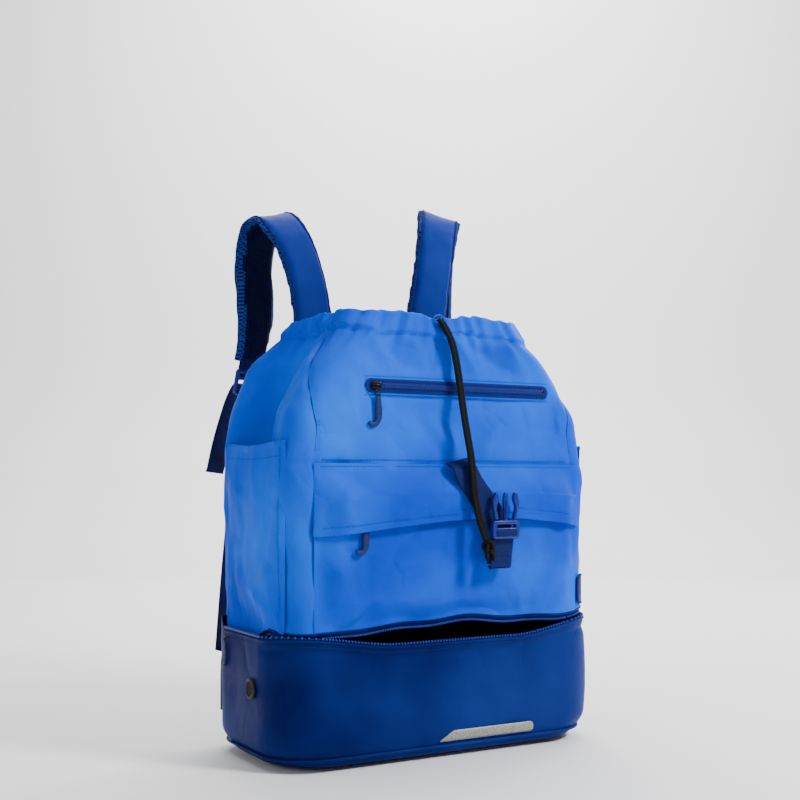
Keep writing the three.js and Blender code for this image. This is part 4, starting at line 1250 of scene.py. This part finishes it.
def build_vent(name, side):
    """A round vent in the side of the base: a flange over crossed wires and a dark disc."""
    flange_profile = [(7.4, 1.0), (7.8, 2.0), (9.2, 2.5), (10.6, 1.8), (11.0, 0.3), (10.8, -0.6)]
    rings = [[(r * math.cos(a) / 1000, r * math.sin(a) / 1000, h / 1000) for a in turns(40)]
             for r, h in flange_profile]
    flange = grid_piece("flange", rings, VENT, closed=True)
    wires = []
    for k in np.arange(-6.6, 6.7, 1.65):
        reach = math.sqrt(max(0.2, 7.6 ** 2 - k ** 2))
        upright = mm_points((k, -reach, 1.0), (k, 0, 1.3), (k, reach, 1.0))
        level = mm_points((-reach, k, 1.2), (0, k, 1.5), (reach, k, 1.2))
        for path, across in ((upright, (1, 0, 0)), (level, (0, 1, 0))):
            wires.append(tube("wire", path, 0.00034, VENT, sides=6, steps=7, across=across))
    disc = mesh_piece("disc", [mm(7.7 * math.cos(a), 7.7 * math.sin(a), 0.4) for a in turns(32)],
                      [tuple(range(32))], LINING)
    vent = join(f"{name}_vent", [flange, disc] + wires)
    vent.data.transform(Matrix.Translation((side * 0.2012, -0.033, 0.076))
                        @ Matrix.Rotation(side * math.pi / 2, 4, "Y"))
    fix_normals(vent)
    settle(vent, "bag", "vent_mesh", f"{name}_vent_eyelet")


def build_reflector():
    """Reflective strip: slanting ends, rounded corners, lying on the base's lower front."""
    rows = []
    for t in np.linspace(0, 1, 7):
        z = 0.0135 + 0.0115 * t
        left = -0.017 + 0.017 * t + 0.002 * (abs(t - 0.5) * 2) ** 6
        right = 0.1055 - 0.002 * t - 0.003 * (abs(t - 0.5) * 2) ** 4
        y = front_y(z) - 0.0020 + 0.0006 * (abs(t - 0.5) * 2) ** 4
        rows.append([(x, y, z) for x in np.linspace(left, right, 60)])
    rows = np.array(rows)
    rows[:, 0, 1] += 0.0007
    rows[:, -1, 1] += 0.0007
    strip = grid_piece("reflective_strip", rows, REFLECTOR, thickness=0.0012)
    settle(strip, "bag", "reflective", "reflector_strip")


def build_corner_patch():
    """Plain patch wrapped round the lower right corner of the bag."""
    half, _, front, _, corner = outline(0.165)
    radius = corner + 0.0012 + 0.0016
    middle = -0.698
    rows = []
    for t in np.linspace(0, 1, 20):
        edge = 1 - (abs(2 * t - 1)) ** 5 * 0.22
        z = 0.1495 + 0.031 * t
        angles = [lerp(middle, a, edge) for a in np.radians(np.linspace(-66, -14, 18))]
        rows.append([((half - corner) + radius * math.cos(a), (-front + corner) + radius * math.sin(a), z)
                     for a in angles])
    patch = grid_piece("corner_patch", np.array(rows), NAVY, thickness=0.0014)
    rim = rows[0] + [r[-1] for r in rows[1:]] + rows[-1][-2::-1] + [r[0] for r in rows[-2:0:-1]]
    border = loop_tube("corner_patch_border", rim, 0.0010, NAVY_THREAD, sides=6)
    settle(join("corner_patch_plain", [patch, border]), "bag", "azure_fabric", "corner_badge")


build_piping()
for vent_name, vent_side in (("left", -1), ("right", 1)):
    build_vent(vent_name, vent_side)
build_reflector()
build_corner_patch()


# ---- inside -----------------------------------------------------------------------------------------
def build_inside():
    rows = []
    for share in (0.03, 0.3, 0.6, 0.85, 1.0):
        loop = np.array(rounded(0.364, 0.166, 0.026, steps=8)) * share
        rows.append(np.column_stack([loop, 0.1392 - 0.0006 * share + 0 * loop[:, 0]]))
    points = np.array(rows)[::-1]
    floor = grid_piece("inner_floor_cloth", points, LINING, closed=True, thickness=0.0012)
    settle(floor, "bag", "navy_fabric", "main_floor")
    for node in ("base_board", "frame_sheet"):
        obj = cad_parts[node]
        obj.data.materials.clear()
        obj.data.materials.append(BOARD)


build_inside()


# ---- front strap and buckles ------------------------------------------------------------------------
def build_front_strap():
    across = unit((1, 0.0, 0.22))
    route = mm_points((3, -103.5, 309), (4.5, -113, 304), (7, -116.6, 296), (14, -117.4, 283),
                      (28, -117.2, 266), (41, -117.0, 250), (48, -118.2, 238), (49, -118.0, 226),
                      (47, -117.0, 213), (45.5, -116.6, 199))
    band_piece = sweep("band", route, band(0.0280, 0.0019), across, 60, WEBBING)
    back = mm_points((45.6, -117.0, 199.4), (46.0, -119.6, 196.2), (46.6, -121.0, 200), (48.0, -120.6, 212),
                     (49.6, -120.8, 224), (50.0, -122.6, 233.5), (50.1, -126.2, 237.0), (50, -127.4, 233.6),
                     (50, -126.6, 229.4))
    loop = sweep("loop", back, band(0.0262, 0.0018), (1, 0, 0.05), 50, WEBBING)
    rows = [stitches("s", [(0.0350, -0.1219, height), (0.0590, -0.1219, height)], (0, -1, 0), NAVY_THREAD)
            for height in (0.2035, 0.2085)]
    rows.append(stitches("s", mm_points((-3, -115.0, 302.5), (18, -115.0, 305.5)), (0, -1, 0), NAVY_THREAD))
    settle(join("front_strap_webbing", [band_piece, loop] + rows), "front_strap", "webbing", "front_strap")


def build_male_buckle():
    """Side-release buckle, prong half: a two-bar frame with a centre tongue, and two sprung arms."""
    x, y, bottom, top = 0.050, -0.1245, 0.227, 0.246
    middle = (bottom + top) / 2

    def rib(across, half, z, radius):
        """A grip rib through the buckle's depth."""
        return tube("rib", [(x + across, y - half, z), (x + across, y + half, z)], radius, PLASTIC, steps=5,
                    across=(1, 0, 0))

    frame_loops = [rounded(0.0345, top - bottom, 0.0035),
                   rounded(0.0238, 0.0040, 0.0012, cy=-0.0040), rounded(0.0238, 0.0040, 0.0012, cy=0.0040)]
    bars = plate("bars", frame_loops, 0.0060, 0.0011, facing(x, y, middle), PLASTIC)
    shoulder = plate("shoulder", [rounded(0.0290, 0.0046, 0.0018)], 0.0072, 0.0016,
                     facing(x, y, top - 0.0018), PLASTIC)
    tongue_shape = resample(mm_points((-2.0, -4, 0), (-2.2, 10, 0), (-2.9, 20, 0), (-2.4, 27, 0), (0, 30, 0),
                                      (2.4, 27, 0), (2.9, 20, 0), (2.2, 10, 0), (2.0, -4, 0)), 40)
    tongue = plate("tongue", [tongue_shape[:, :2]], 0.0034, 0.0009, facing(x, y, top), PLASTIC)
    ridge = sweep("ridge", mm_points((0, 0, 2), (0, 14, 2.3), (0, 25, 1.7)), band(0.0014, 0.0014),
                  (1, 0, 0), 12, PLASTIC)
    ridge.data.transform(facing(x, y, top))
    grips = [rib(s * 0.0166, 0.0018, middle + k, 0.0007) for s in (-1, 1) for k in (-0.004, 0, 0.004)]
    settle(join("male_buckle_frame", [bars, shoulder, tongue, ridge] + grips), "male_buckle",
           "buckle_plastic", "male_buckle")
    shape = [(9.6, 1.2), (10.2, 6), (12.0, 12), (11.6, 17), (9.9, 21), (9.5, 26), (11.2, 29.6), (13.6, 29.2),
             (15.4, 25), (16.6, 19.5), (16.2, 14), (15.0, 9), (14.2, 4), (14.0, 1.2)]
    for name, side in (("left", -1), ("right", 1)):
        loop = resample([(side * a / 1000, b / 1000, 0) for a, b in shape + shape[:1]], 56)[:-1]
        arm = plate(f"buckle_arm_{name}", [loop[:, :2]], 0.0048, 0.0012, facing(x, y, top), PLASTIC)
        head = [rib(side * 0.0163, 0.0013, top + k, 0.0006) for k in (0.0160, 0.0185, 0.0210)]
        settle(join(f"buckle_prong_{name}", [arm] + head), f"buckle_arm_{name}", "buckle_plastic",
               f"male_buckle_arm_{name}")


def build_closure():
    """Closure strap that hangs inside the mouth, carrying the buckle's socket."""
    route = mm_points((15, 82, 457), (15, 80.6, 400), (15, 81.8, 352), (15, 82.4, 343), (15, 79.6, 339.8),
                      (15, 78.6, 345), (15, 79.0, 372))
    strap = sweep("band", route, band(0.0270, 0.0017), (1, 0, 0), 60, WEBBING)
    box_stitch = [stitches("s", [(0.004, 0.0780, h), (0.026, 0.0780, h)], (0, -1, 0), NAVY_THREAD)
                  for h in (0.358, 0.368)]
    band_piece = join("closure_strap_webbing", [strap] + box_stitch)
    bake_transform(band_piece)
    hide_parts("closure_strap")

    shape = [(-14, 20), (14, 20), (17.2, 15), (17.4, 4), (16.2, -6), (17.2, -14), (14, -20.6), (0, -21.2),
             (-14, -20.6), (-17.2, -14), (-16.2, -6), (-17.4, 4), (-17.2, 15), (-14, 20)]
    outline_2d = resample([mm(a, b, 0) for a, b in shape], 72)[:-1, :2]
    slot_loop = rounded(0.0278, 0.0032, 0.0010, cy=0.0155)
    window = rounded(0.0060, 0.0130, 0.0024, cy=-0.006)
    face = [plate("face", [outline_2d, slot_loop, window], 0.0022, 0.0006, facing(0.015, y, 0.3245), PLASTIC)
            for y in (0.0780, 0.0860)]
    between = [(rounded(0.0330, 0.0080, 0.0020, cy=0.0085), 0.0090),
               (rounded(0.0300, 0.0036, 0.0012, cy=0.0190), 0.0086)]
    between += [(rounded(0.0026, 0.0200, 0.0010, cx=s * 0.0138, cy=-0.0108), 0.0084) for s in (-1, 1)]
    walls = [plate("wall", [loop], depth, 0.0010, facing(0.015, 0.082, 0.3245), PLASTIC)
             for loop, depth in between]
    settle(join("female_buckle_shell", face + walls), "female_buckle", "buckle_plastic", "female_buckle")


build_front_strap()
build_male_buckle()
build_closure()


# ---- padded pieces ----------------------------------------------------------------------------------
def puff(obj, voxel, pressure, cap, frames=20):
    """Inflates a closed pad by cloth simulation, no point moving further than cap."""
    scene = bpy.context.scene
    remesh = obj.modifiers.new("remesh", "REMESH")
    remesh.mode = "VOXEL"
    remesh.voxel_size = voxel
    depsgraph = bpy.context.evaluated_depsgraph_get()
    mesh = bpy.data.meshes.new_from_object(obj.evaluated_get(depsgraph))
    obj.modifiers.clear()
    obj.data = mesh
    start = np.empty(len(mesh.vertices) * 3)
    mesh.vertices.foreach_get("co", start)
    cloth = obj.modifiers.new("cloth", "CLOTH")
    cloth.settings.use_pressure = True
    cloth.settings.uniform_pressure_force = pressure
    cloth.settings.tension_stiffness = 12
    cloth.settings.bending_stiffness = 0.6
    cloth.settings.effector_weights.gravity = 0
    cloth.settings.quality = 5
    cloth.point_cache.frame_start = 1
    cloth.point_cache.frame_end = frames
    for number in range(1, frames + 1):
        scene.frame_set(number)
    depsgraph = bpy.context.evaluated_depsgraph_get()
    moved = bpy.data.meshes.new_from_object(obj.evaluated_get(depsgraph))
    obj.modifiers.clear()
    end = np.empty(len(moved.vertices) * 3)
    moved.vertices.foreach_get("co", end)
    shift = (end - start).reshape(-1, 3)
    far = np.linalg.norm(shift, axis=1, keepdims=True)
    shift *= np.minimum(1, cap / np.maximum(far, 1e-9))
    mesh.vertices.foreach_set("co", (start.reshape(-1, 3) + shift).ravel())
    scene.frame_set(1)
    mesh.update()
    mesh.shade_smooth()
    return obj


def vertices_of(obj):
    co = np.empty(len(obj.data.vertices) * 3)
    obj.data.vertices.foreach_get("co", co)
    return co.reshape(-1, 3)


def set_vertices(obj, points):
    obj.data.vertices.foreach_set("co", np.asarray(points, float).ravel())
    obj.data.update()


def subdivided(obj):
    skin = obj.modifiers.new("smooth", "SUBSURF")
    skin.levels = 1
    skin.render_levels = 1


MIDDLE_X = 0.015                # the straps and pads stand this far right of the bag's middle


def build_back_pads():
    """Two mesh pads on the back, sewn in channels, with a bound edge."""
    rear, height = 0.0945, 0.124
    for name, z, width in (("upper", 0.336, 0.190), ("lower", 0.205, 0.210)):
        loop = np.array(rounded(width - 0.006, height - 0.006, 0.020, steps=7))
        rows = []
        for share, out in ((0.02, 0), (0.98, 0), (1.0, 0.0012), (1.0, 0.0030), (0.97, 0.0048), (0.90, 0.0062),
                           (0.02, 0.0066)):
            rows.append([(MIDDLE_X + x * share, rear + out, z + h * share) for x, h in loop])
        pad = ring_solid(f"{name}_back_cushion", rows, BACK_MESH)
        puff(pad, 0.0038, 3.0, 0.0035)
        points = vertices_of(pad)
        x, h = points[:, 0] - MIDDLE_X, points[:, 2] - z
        channel = np.minimum.reduce([np.abs(x - c) for c in (-width / 6, width / 6)])
        rise = np.clip(points[:, 1] - rear, 0, 0.009)
        groove = 1 - 0.75 * np.exp(-(channel / 0.0034) ** 2) * smooth(0.056, 0.046, np.abs(h))
        points[:, 1] = rear + rise * groove
        set_vertices(pad, points)
        subdivided(pad)
        settle(pad, "bag", "mesh_fabric", f"{name}_back_pad")
        rim = [(MIDDLE_X + x, rear + 0.0010, z + h)
               for x, h in rounded(width - 0.003, height - 0.003, 0.0215, steps=9)]
        binding = loop_tube(f"{name}_back_binding", rim, 0.0019, NAVY)
        settle(binding, "bag", "navy_fabric")
        lines = [stitches("s", [(MIDDLE_X + c, rear + 0.0022, z + end) for end in (-0.050, 0.050)],
                          (0, 1, 0), NAVY_THREAD) for c in (-width / 6, width / 6)]
        settle(join(f"{name}_back_quilting", lines), "bag", "mesh_fabric")


def build_yoke():
    """The stiff band across the back that both straps and the hang loop are sewn into."""
    x = np.linspace(-0.0975, 0.1275, 90)
    rows = []
    for t in np.linspace(-1, 1, 16):
        end = 1 - 0.035 * abs(t) ** 5
        rows.append([((a - MIDDLE_X) * end + MIDDLE_X, 0.0951 + 0.0010 * (1 - abs(t) ** 6)
                      + 0.0003 * fractal(a, 0, t * 0.02, 40, seed=3.0), 0.423 + 0.0178 * t) for a in x])
    yoke = grid_piece("strap_yoke_cloth", np.array(rows), NAVY, flip=True, thickness=0.0014, subdivide=1)
    settle(yoke, "bag", "navy_fabric", "strap_yoke")
    threads = [stitches("s", [(x, 0.0964, 0.423 + s) for x in (-0.092, 0.122)], (0, 1, 0), NAVY_THREAD)
               for s in (-0.0145, 0.0145, 0.0115)]
    settle(join("strap_yoke_stitch", threads), "bag", "navy_fabric")


def build_hang_loop():
    arch = [(-34, 438), (-33.5, 428), (-29, 416), (-19, 407), (0, 402.5), (19, 407), (29, 416), (33.5, 428),
            (34, 438)]
    route = [mm(15 + x, 110.5, z) for x, z in arch]
    loop = sweep("loop", route, band(0.0195, 0.0023), (0, 1, 0), 70, WEBBING)
    upright = Matrix.Rotation(math.pi / 2, 4, "Y") @ Matrix.Rotation(math.pi / 2, 4, "Z")
    tabs = [plate("tab", [rounded(0.0200, 0.0110, 0.0020)], 0.0030, 0.0010,
                  Matrix.Translation((MIDDLE_X + s * 0.034, 0.110, 0.4385)) @ upright, WEBBING)
            for s in (-1, 1)]
    settle(join("hang_loop_webbing", [loop] + tabs), "hang_loop", "webbing", "hang_loop")


build_back_pads()
build_yoke()
build_hang_loop()

# ---- shoulder straps --------------------------------------------------------------------------------
# Middle line of a strap's pad: distance from the bag's middle, Y and Z, in millimetres.
STRAP_PATH = [(77.5, 107.6, 424), (78, 108.6, 455), (82, 109.4, 498), (90, 112.6, 538), (102, 122, 576),
              (115, 140, 599), (124, 159, 588), (127, 170, 550), (125, 172, 506), (126, 173, 468),
              (130, 178, 430)]
STRAP_LIFT = {"left": 0, "right": 24}
PAD_YAW = 18


def strap_point(side, out, y, z):
    return mm(15 + side * out, y, z)


def strap_points(side, *points):
    return [strap_point(side, *p) for p in points]


def build_strap_pad(name, side):
    """The padded strap, sewn along both edges, with its edge piping and stitches."""
    def across(t):
        angle = math.radians(-side * PAD_YAW * t)
        roll = 0.34 * side * math.exp(-((t - 0.42) / 0.16) ** 2)
        return unit((math.cos(angle), math.sin(angle), -roll))

    count = 120
    lift = STRAP_LIFT[name]
    route = [strap_point(side, a, b, c + lift * math.sin(math.pi * k / (len(STRAP_PATH) - 1)))
             for k, (a, b, c) in enumerate(STRAP_PATH)]
    points = resample(route, count)
    if name == "right":
        points[:, 0] -= 0.005 * (1 - smooth(0.0, 0.35, np.linspace(0, 1, count)))
    sides, normals = frames(points, across)

    def half_width(t):
        flare = 0.004 * (1 - float(smooth(0.0, 0.3, t))) if name == "right" else 0.0
        return 0.0298 + flare - 0.007 * float(smooth(0.82, 1.0, t))

    def section(t):
        w = half_width(t)
        shape = []
        for angle in turns(28):
            c, s = math.cos(angle), math.sin(angle)
            shape.append((w * math.copysign(abs(c) ** 0.42, c), 0.0050 * math.copysign(abs(s) ** 0.7, s)))
        return shape

    rings = [[points[k] + sides[k] * w + normals[k] * h for w, h in section(k / (count - 1))]
             for k in range(count)]
    pad = ring_solid(f"{name}_shoulder_pad", rings, [STRAP_FACE, DIAMOND_MESH, RIB_MESH])
    puff(pad, 0.0040, 4.0, 0.0040)
    verts = vertices_of(pad)
    nearest = np.array([int(np.argmin(((points - v) ** 2).sum(axis=1))) for v in verts])
    offset = verts - points[nearest]
    w = (offset * sides[nearest]).sum(axis=1)
    h = (offset * normals[nearest]).sum(axis=1)
    reach = np.array([half_width(k / (count - 1)) for k in nearest])
    share = np.abs(w) / reach
    sewn = np.exp(-((share - 0.80) / 0.045) ** 2)
    dents = np.array([fractal(*v, 22, seed=4.0) for v in verts])
    verts -= normals[nearest] * (h * 0.42 * sewn)[:, None]
    verts += normals[nearest] * (0.0009 * dents)[:, None]
    set_vertices(pad, verts)
    mesh = pad.data
    materials = []
    for polygon in mesh.polygons:
        ids = list(polygon.vertices)
        depth, edge = float(h[ids].mean()), float(share[ids].mean())
        materials.append(0 if depth < -0.0010 and edge < 0.78 else (1 if edge >= 0.66 else 2))
    mesh.polygons.foreach_set("material_index", materials)
    subdivided(pad)
    body = f"{name}_strap"
    settle(pad, body, "strap_fabric", f"{name}_strap_pad")

    surface = BVHTree.FromPolygons([tuple(v) for v in verts], [tuple(p.vertices) for p in mesh.polygons])

    def pressed(point, lift):
        """The nearest point of the pad's surface, and lift above it."""
        place, normal = surface.find_nearest(Vector(point))[:2]
        return np.array(place + normal * lift)

    def beside(k, edge, share, lift):
        """A point on the pad's outer face at that share of its half width, from step k of the path."""
        reach = edge * half_width(k / (count - 1)) * share
        return pressed(points[k] + sides[k] * reach - normals[k] * 0.0045, lift)

    threads, edges = [], []
    for edge in (-1, 1):
        line = np.array([beside(k, edge, 0.72, 0.0002) for k in range(3, count - 3)])
        for part in np.array_split(np.arange(len(line)), 12):
            cut = line[part[0]:part[-1] + 2]
            threads.append(stitches("s", cut, -normals[3 + int(part.mean())], NAVY_THREAD))
        piping = [beside(k, edge, 0.79, 0.0004) for k in range(2, count - 2)]
        edges.append(tube("e", piping, 0.0011, NAVY_THREAD, sides=6, steps=160))
    settle(join(f"{name}_strap_edge_stitch", threads + edges), body, "strap_fabric")


def build_strap_webbing(name, side):
    """Below the pad: the tongue, the ladder lock, the free tail and the lower webbing."""
    body = f"{name}_strap"
    yaw = math.radians(-side * PAD_YAW)
    along = np.array((math.cos(yaw), math.sin(yaw), 0))

    # Webbing tongue sewn to the pad's end, carrying the ladder lock.
    root = strap_points(side, (129.5, 181.5, 441), (130.5, 183.5, 430), (132, 184.6, 419),
                        (132.2, 186.2, 415.6), (131.6, 182.4, 414.4), (130.8, 180.6, 420), (129.6, 178, 436))
    tongue = sweep("tongue", root, band(0.0250, 0.0017), along, 44, WEBBING)

    def across_webbing(out, y, z, reach):
        return [np.array(strap_point(side, out, y, z)) + along * s for s in (-reach, 0, reach)]

    tacks = [stitches("s", across_webbing(130, 183.6, z, 0.011), np.cross(along, (0, 0, 1)), NAVY_THREAD,
                      pitch=0.0022, length=0.0019) for z in (436, 432, 428)]

    place = (Matrix.Translation(strap_point(side, 132, 184, 408)) @ Matrix.Rotation(yaw, 4, "Z")
             @ Matrix.Rotation(math.radians(90 + 14), 4, "X"))
    loops = [rounded(0.0340, 0.0300, 0.0040)]
    loops += [rounded(0.0262, 0.0042, 0.0012, cy=c) for c in (-0.0085, -0.0004, 0.0082)]
    lock = plate("lock", loops, 0.0048, 0.0011, place, PLASTIC)
    lip = plate("lip", [rounded(0.0300, 0.0046, 0.0020)], 0.0070, 0.0016,
                place @ Matrix.Translation((0, -0.0142, -0.0012)), PLASTIC)
    bar_ribs = [tube("rib", [place @ Vector((x, y, 0.0028)) for y in (-0.0128, -0.0158)], 0.0005, PLASTIC,
                     steps=4, across=(1, 0, 0)) for x in np.linspace(-0.011, 0.011, 9)]
    settle(join(f"{name}_ladder_buckle", [lock, lip] + bar_ribs), body, "buckle_plastic",
           f"{name}_ladder_lock")

    tail_route = strap_points(side, (131.4, 180.4, 401), (131.8, 183.6, 404), (133.4, 188.8, 405.5),
                              (134.8, 193.6, 404), (138, 198.5, 396), (142, 204, 382), (148, 209, 358),
                              (154, 211.4, 334), (161.4, 211, 302), (161.8, 210.2, 298.6),
                              (161.4, 209.0, 301), (158.6, 209.2, 313))
    tail = sweep("tail", tail_route, band(0.0252, 0.0015), along, 90, WEBBING)
    hem = stitches("s", across_webbing(158.9, 212.2, 311, 0.010), (0, 1, 0), NAVY_THREAD)
    settle(join(f"{name}_strap_tail_webbing", [tail, tongue, hem] + tacks), body, "webbing",
           f"{name}_strap_tail")

    # Lower webbing, from the ladder lock down to the tab at the base's corner.
    foot = 182 - side * 15
    route = strap_points(side, (132.4, 186.2, 399.6), (132.0, 180.6, 398.4), (132.4, 177.6, 390),
                         (134.5, 176.4, 372))
    for t in (0.2, 0.4, 0.6, 0.8, 1.0):
        route.append(strap_point(side, lerp(134, foot, t), lerp(176, 89.5, t) + 6 * math.sin(math.pi * t),
                                 lerp(372, 97, t)))
    web = sweep(f"{name}_lower_webbing", route, band(0.0252, 0.0015), along, 90, WEBBING)
    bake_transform(web)
    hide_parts(f"{name}_webbing")


def build_anchor_tab(name, side):
    """Folded cloth tab, bent round the base's rear corner, where the lower webbing ends."""
    bend = 0.104                # about twice the corner's radius
    shape = [(-15, 0), (15, 0), (15, 40), (12.8, 55), (11, 60), (-11, 60), (-12.8, 55), (-15, 40)]
    seam_line = [(-12, 4), (12, 4), (12, 40), (9.6, 55), (-9.6, 55), (-12, 40), (-12, 4)]
    place = (Matrix.Translation((side * 0.1822, 0.0856, 0.036))
             @ Matrix.Rotation(math.radians(side * -38), 4, "Z") @ Matrix.Rotation(math.pi / 2, 4, "X"))
    tab = plate("tab", [mm_points(*shape)], 0.0034, 0.0011, Matrix.Translation((0, 0, 0.0016)), NAVY)
    co = vertices_of(tab)
    co[:, 2] += co[:, 0] ** 2 / bend
    set_vertices(tab, co)
    tab.data.transform(place)
    outline_3d = [place @ Vector((x, y, x ** 2 / bend - 0.0004)) for x, y in mm_points(*seam_line)]
    out = np.array(place.to_3x3() @ Vector((0, 0, -1)))
    seam = [stitches("s", [a, b], out, NAVY_THREAD) for a, b in zip(outline_3d, outline_3d[1:])]
    settle(join(f"{name}_anchor_cloth", [tab] + seam), "bag", "webbing", f"{name}_anchor_tab")


for strap_name, strap_side in (("left", -1), ("right", 1)):
    build_strap_pad(strap_name, strap_side)
    build_strap_webbing(strap_name, strap_side)
    build_anchor_tab(strap_name, strap_side)


# ---- drawstring -------------------------------------------------------------------------------------
# Middle line of the doubled cord, in millimetres, from the hem to the knot.
CORD_ROUTE = [
    (-6.5, -84, 460), (-2, -87.5, 452), (2.5, -90.5, 441), (5.5, -93.5, 428), (7, -97, 411),
    (7.4, -101, 394), (7.6, -105, 376), (8, -109, 358), (8.6, -113.5, 340), (9.3, -118, 323),
    (10, -121.6, 307), (10.6, -123, 292), (11.6, -123.6, 277), (13.8, -124.2, 262), (16.8, -125.4, 247),
    (20, -127.6, 235), (23, -130, 226),
]
KNOT = (24.5, -131, 218.5)


def build_drawstring():
    """Two cord strands down the front, the knot that ends them and the binding where they leave the hem."""
    knot_pieces = []
    centre = np.array(mm(*KNOT))
    wraps = []
    for k in range(64):
        a = 2 * math.pi * k / 64
        wraps.append(centre + np.array((0.0040 * math.cos(2 * a) * (1 + 0.35 * math.cos(3 * a)),
                                        0.0031 * math.sin(3 * a),
                                        0.0050 * math.sin(2 * a) * (1 + 0.35 * math.cos(3 * a)))))
    knot_pieces.append(loop_tube("k", wraps, 0.00225, CORD, sides=10))
    for dx, dz, bend in ((-3, -13, -1.2), (4.5, -14, 1.6)):
        tail = [centre + mm(dx * 0.2, 0, -2), centre + mm(dx * 0.6 + bend, -1.2, dz * 0.5),
                centre + mm(dx, -1.6, dz + 1.2)]
        knot_pieces.append(tube("t", tail, 0.0022, CORD, sides=10, steps=14))
        for a in turns(7):
            strand = [tail[-1], tail[-1] + mm(0.8 * math.cos(a) * 1.2, 0.8 * math.sin(a), -1.6)]
            knot_pieces.append(tube("f", strand, 0.0006, CORD, sides=5, steps=4))
    knot = join("drawstring_stopper_knot", knot_pieces)
    settle(knot, "bag", "cord", "drawstring_knot")

    for name, side in (("left", -1), ("right", 1)):
        points = [mm(x + side * 2.25, y + side * 1.0, z) for x, y, z in CORD_ROUTE]
        curve = bpy.data.curves.new(f"drawstring_{name}_cord", "CURVE")
        curve.dimensions = "3D"
        curve.bevel_depth = CORD_RADIUS
        curve.bevel_resolution = 4
        curve.use_fill_caps = True
        curve.resolution_u = 6
        spline = curve.splines.new("NURBS")
        spline.points.add(len(points) - 1)
        spline.points.foreach_set("co", [c for p in points for c in (*p, 1)])
        spline.use_endpoint_u = True
        spline.order_u = 4
        curve.materials.append(CORD)
        cord = bpy.data.objects.new(f"drawstring_{name}_cord", curve)
        bpy.context.scene.collection.objects.link(cord)
        round(length_of(points), 3)
        settle(cord, "bag", "cord", f"drawstring_{name}")

    ring = [(-0.0065 + 0.0064 * math.cos(a), -0.0818 - 0.0006 * math.sin(a), 0.4598 + 0.0046 * math.sin(a))
            for a in turns(26)]
    exit_binding = loop_tube("drawstring_exit_binding", ring, 0.0011, THREAD, sides=8)
    settle(exit_binding, "bag", "azure_fabric")


build_drawstring()


# ---- floor, light and background ------------------------------------------------------------------
def build_stage():
    """A pale floor that curves up into the background."""
    n = Nodes("pale_floor")
    n.put("Base Color", (0.86, 0.86, 0.86, 1))
    n.put("Roughness", n.math("MULTIPLY_ADD", n.noise(3, 2), 0.05, 0.75))
    profile = [(-3.2, 0.0), (1.6, 0.0), (2.2, 0.06), (2.7, 0.35), (3.0, 0.9), (3.1, 3.2)]
    line = resample([(0, y, z) for y, z in profile], 60)
    turn = math.radians(-30)
    forward, side = np.array((math.sin(-turn), math.cos(turn))), np.array((math.cos(turn), math.sin(turn)))
    rows = [[(*(forward * y + side * w), z - 0.0004) for w in np.linspace(-4, 4, 9)] for _, y, z in line]
    floor = grid_piece("floor", np.array(rows), n.material)


def area_light(name, place, target, size, power):
    data = bpy.data.lights.new(name, "AREA")
    data.shape = "DISK"
    data.size = size
    data.energy = power
    obj = bpy.data.objects.new(name, data)
    obj.location = place
    obj.rotation_euler = (Vector(target) - Vector(place)).to_track_quat("-Z", "Y").to_euler()
    bpy.context.scene.collection.objects.link(obj)


build_stage()
BAG_MIDDLE = (0, 0, 0.3)
area_light("key", (1.1, -1.7, 1.9), BAG_MIDDLE, 0.6, 84)
area_light("left_fill", (-2.2, -0.6, 1.0), BAG_MIDDLE, 1.0, 11)
area_light("right_rim", (1.9, 0.6, 1.4), BAG_MIDDLE, 1.2, 16)
area_light("top", (-0.2, 0.3, 2.6), BAG_MIDDLE, 1.6, 24)
area_light("backdrop", (1.0, 1.4, 2.6), (1.5, 2.7, 0.3), 2.2, 130)
world = bpy.data.worlds.new("studio")
world.use_nodes = True
background = world.node_tree.nodes["Background"]
background.inputs["Color"].default_value = (0.95, 0.97, 1.0, 1)
background.inputs["Strength"].default_value = 0.36
bpy.context.scene.world = world
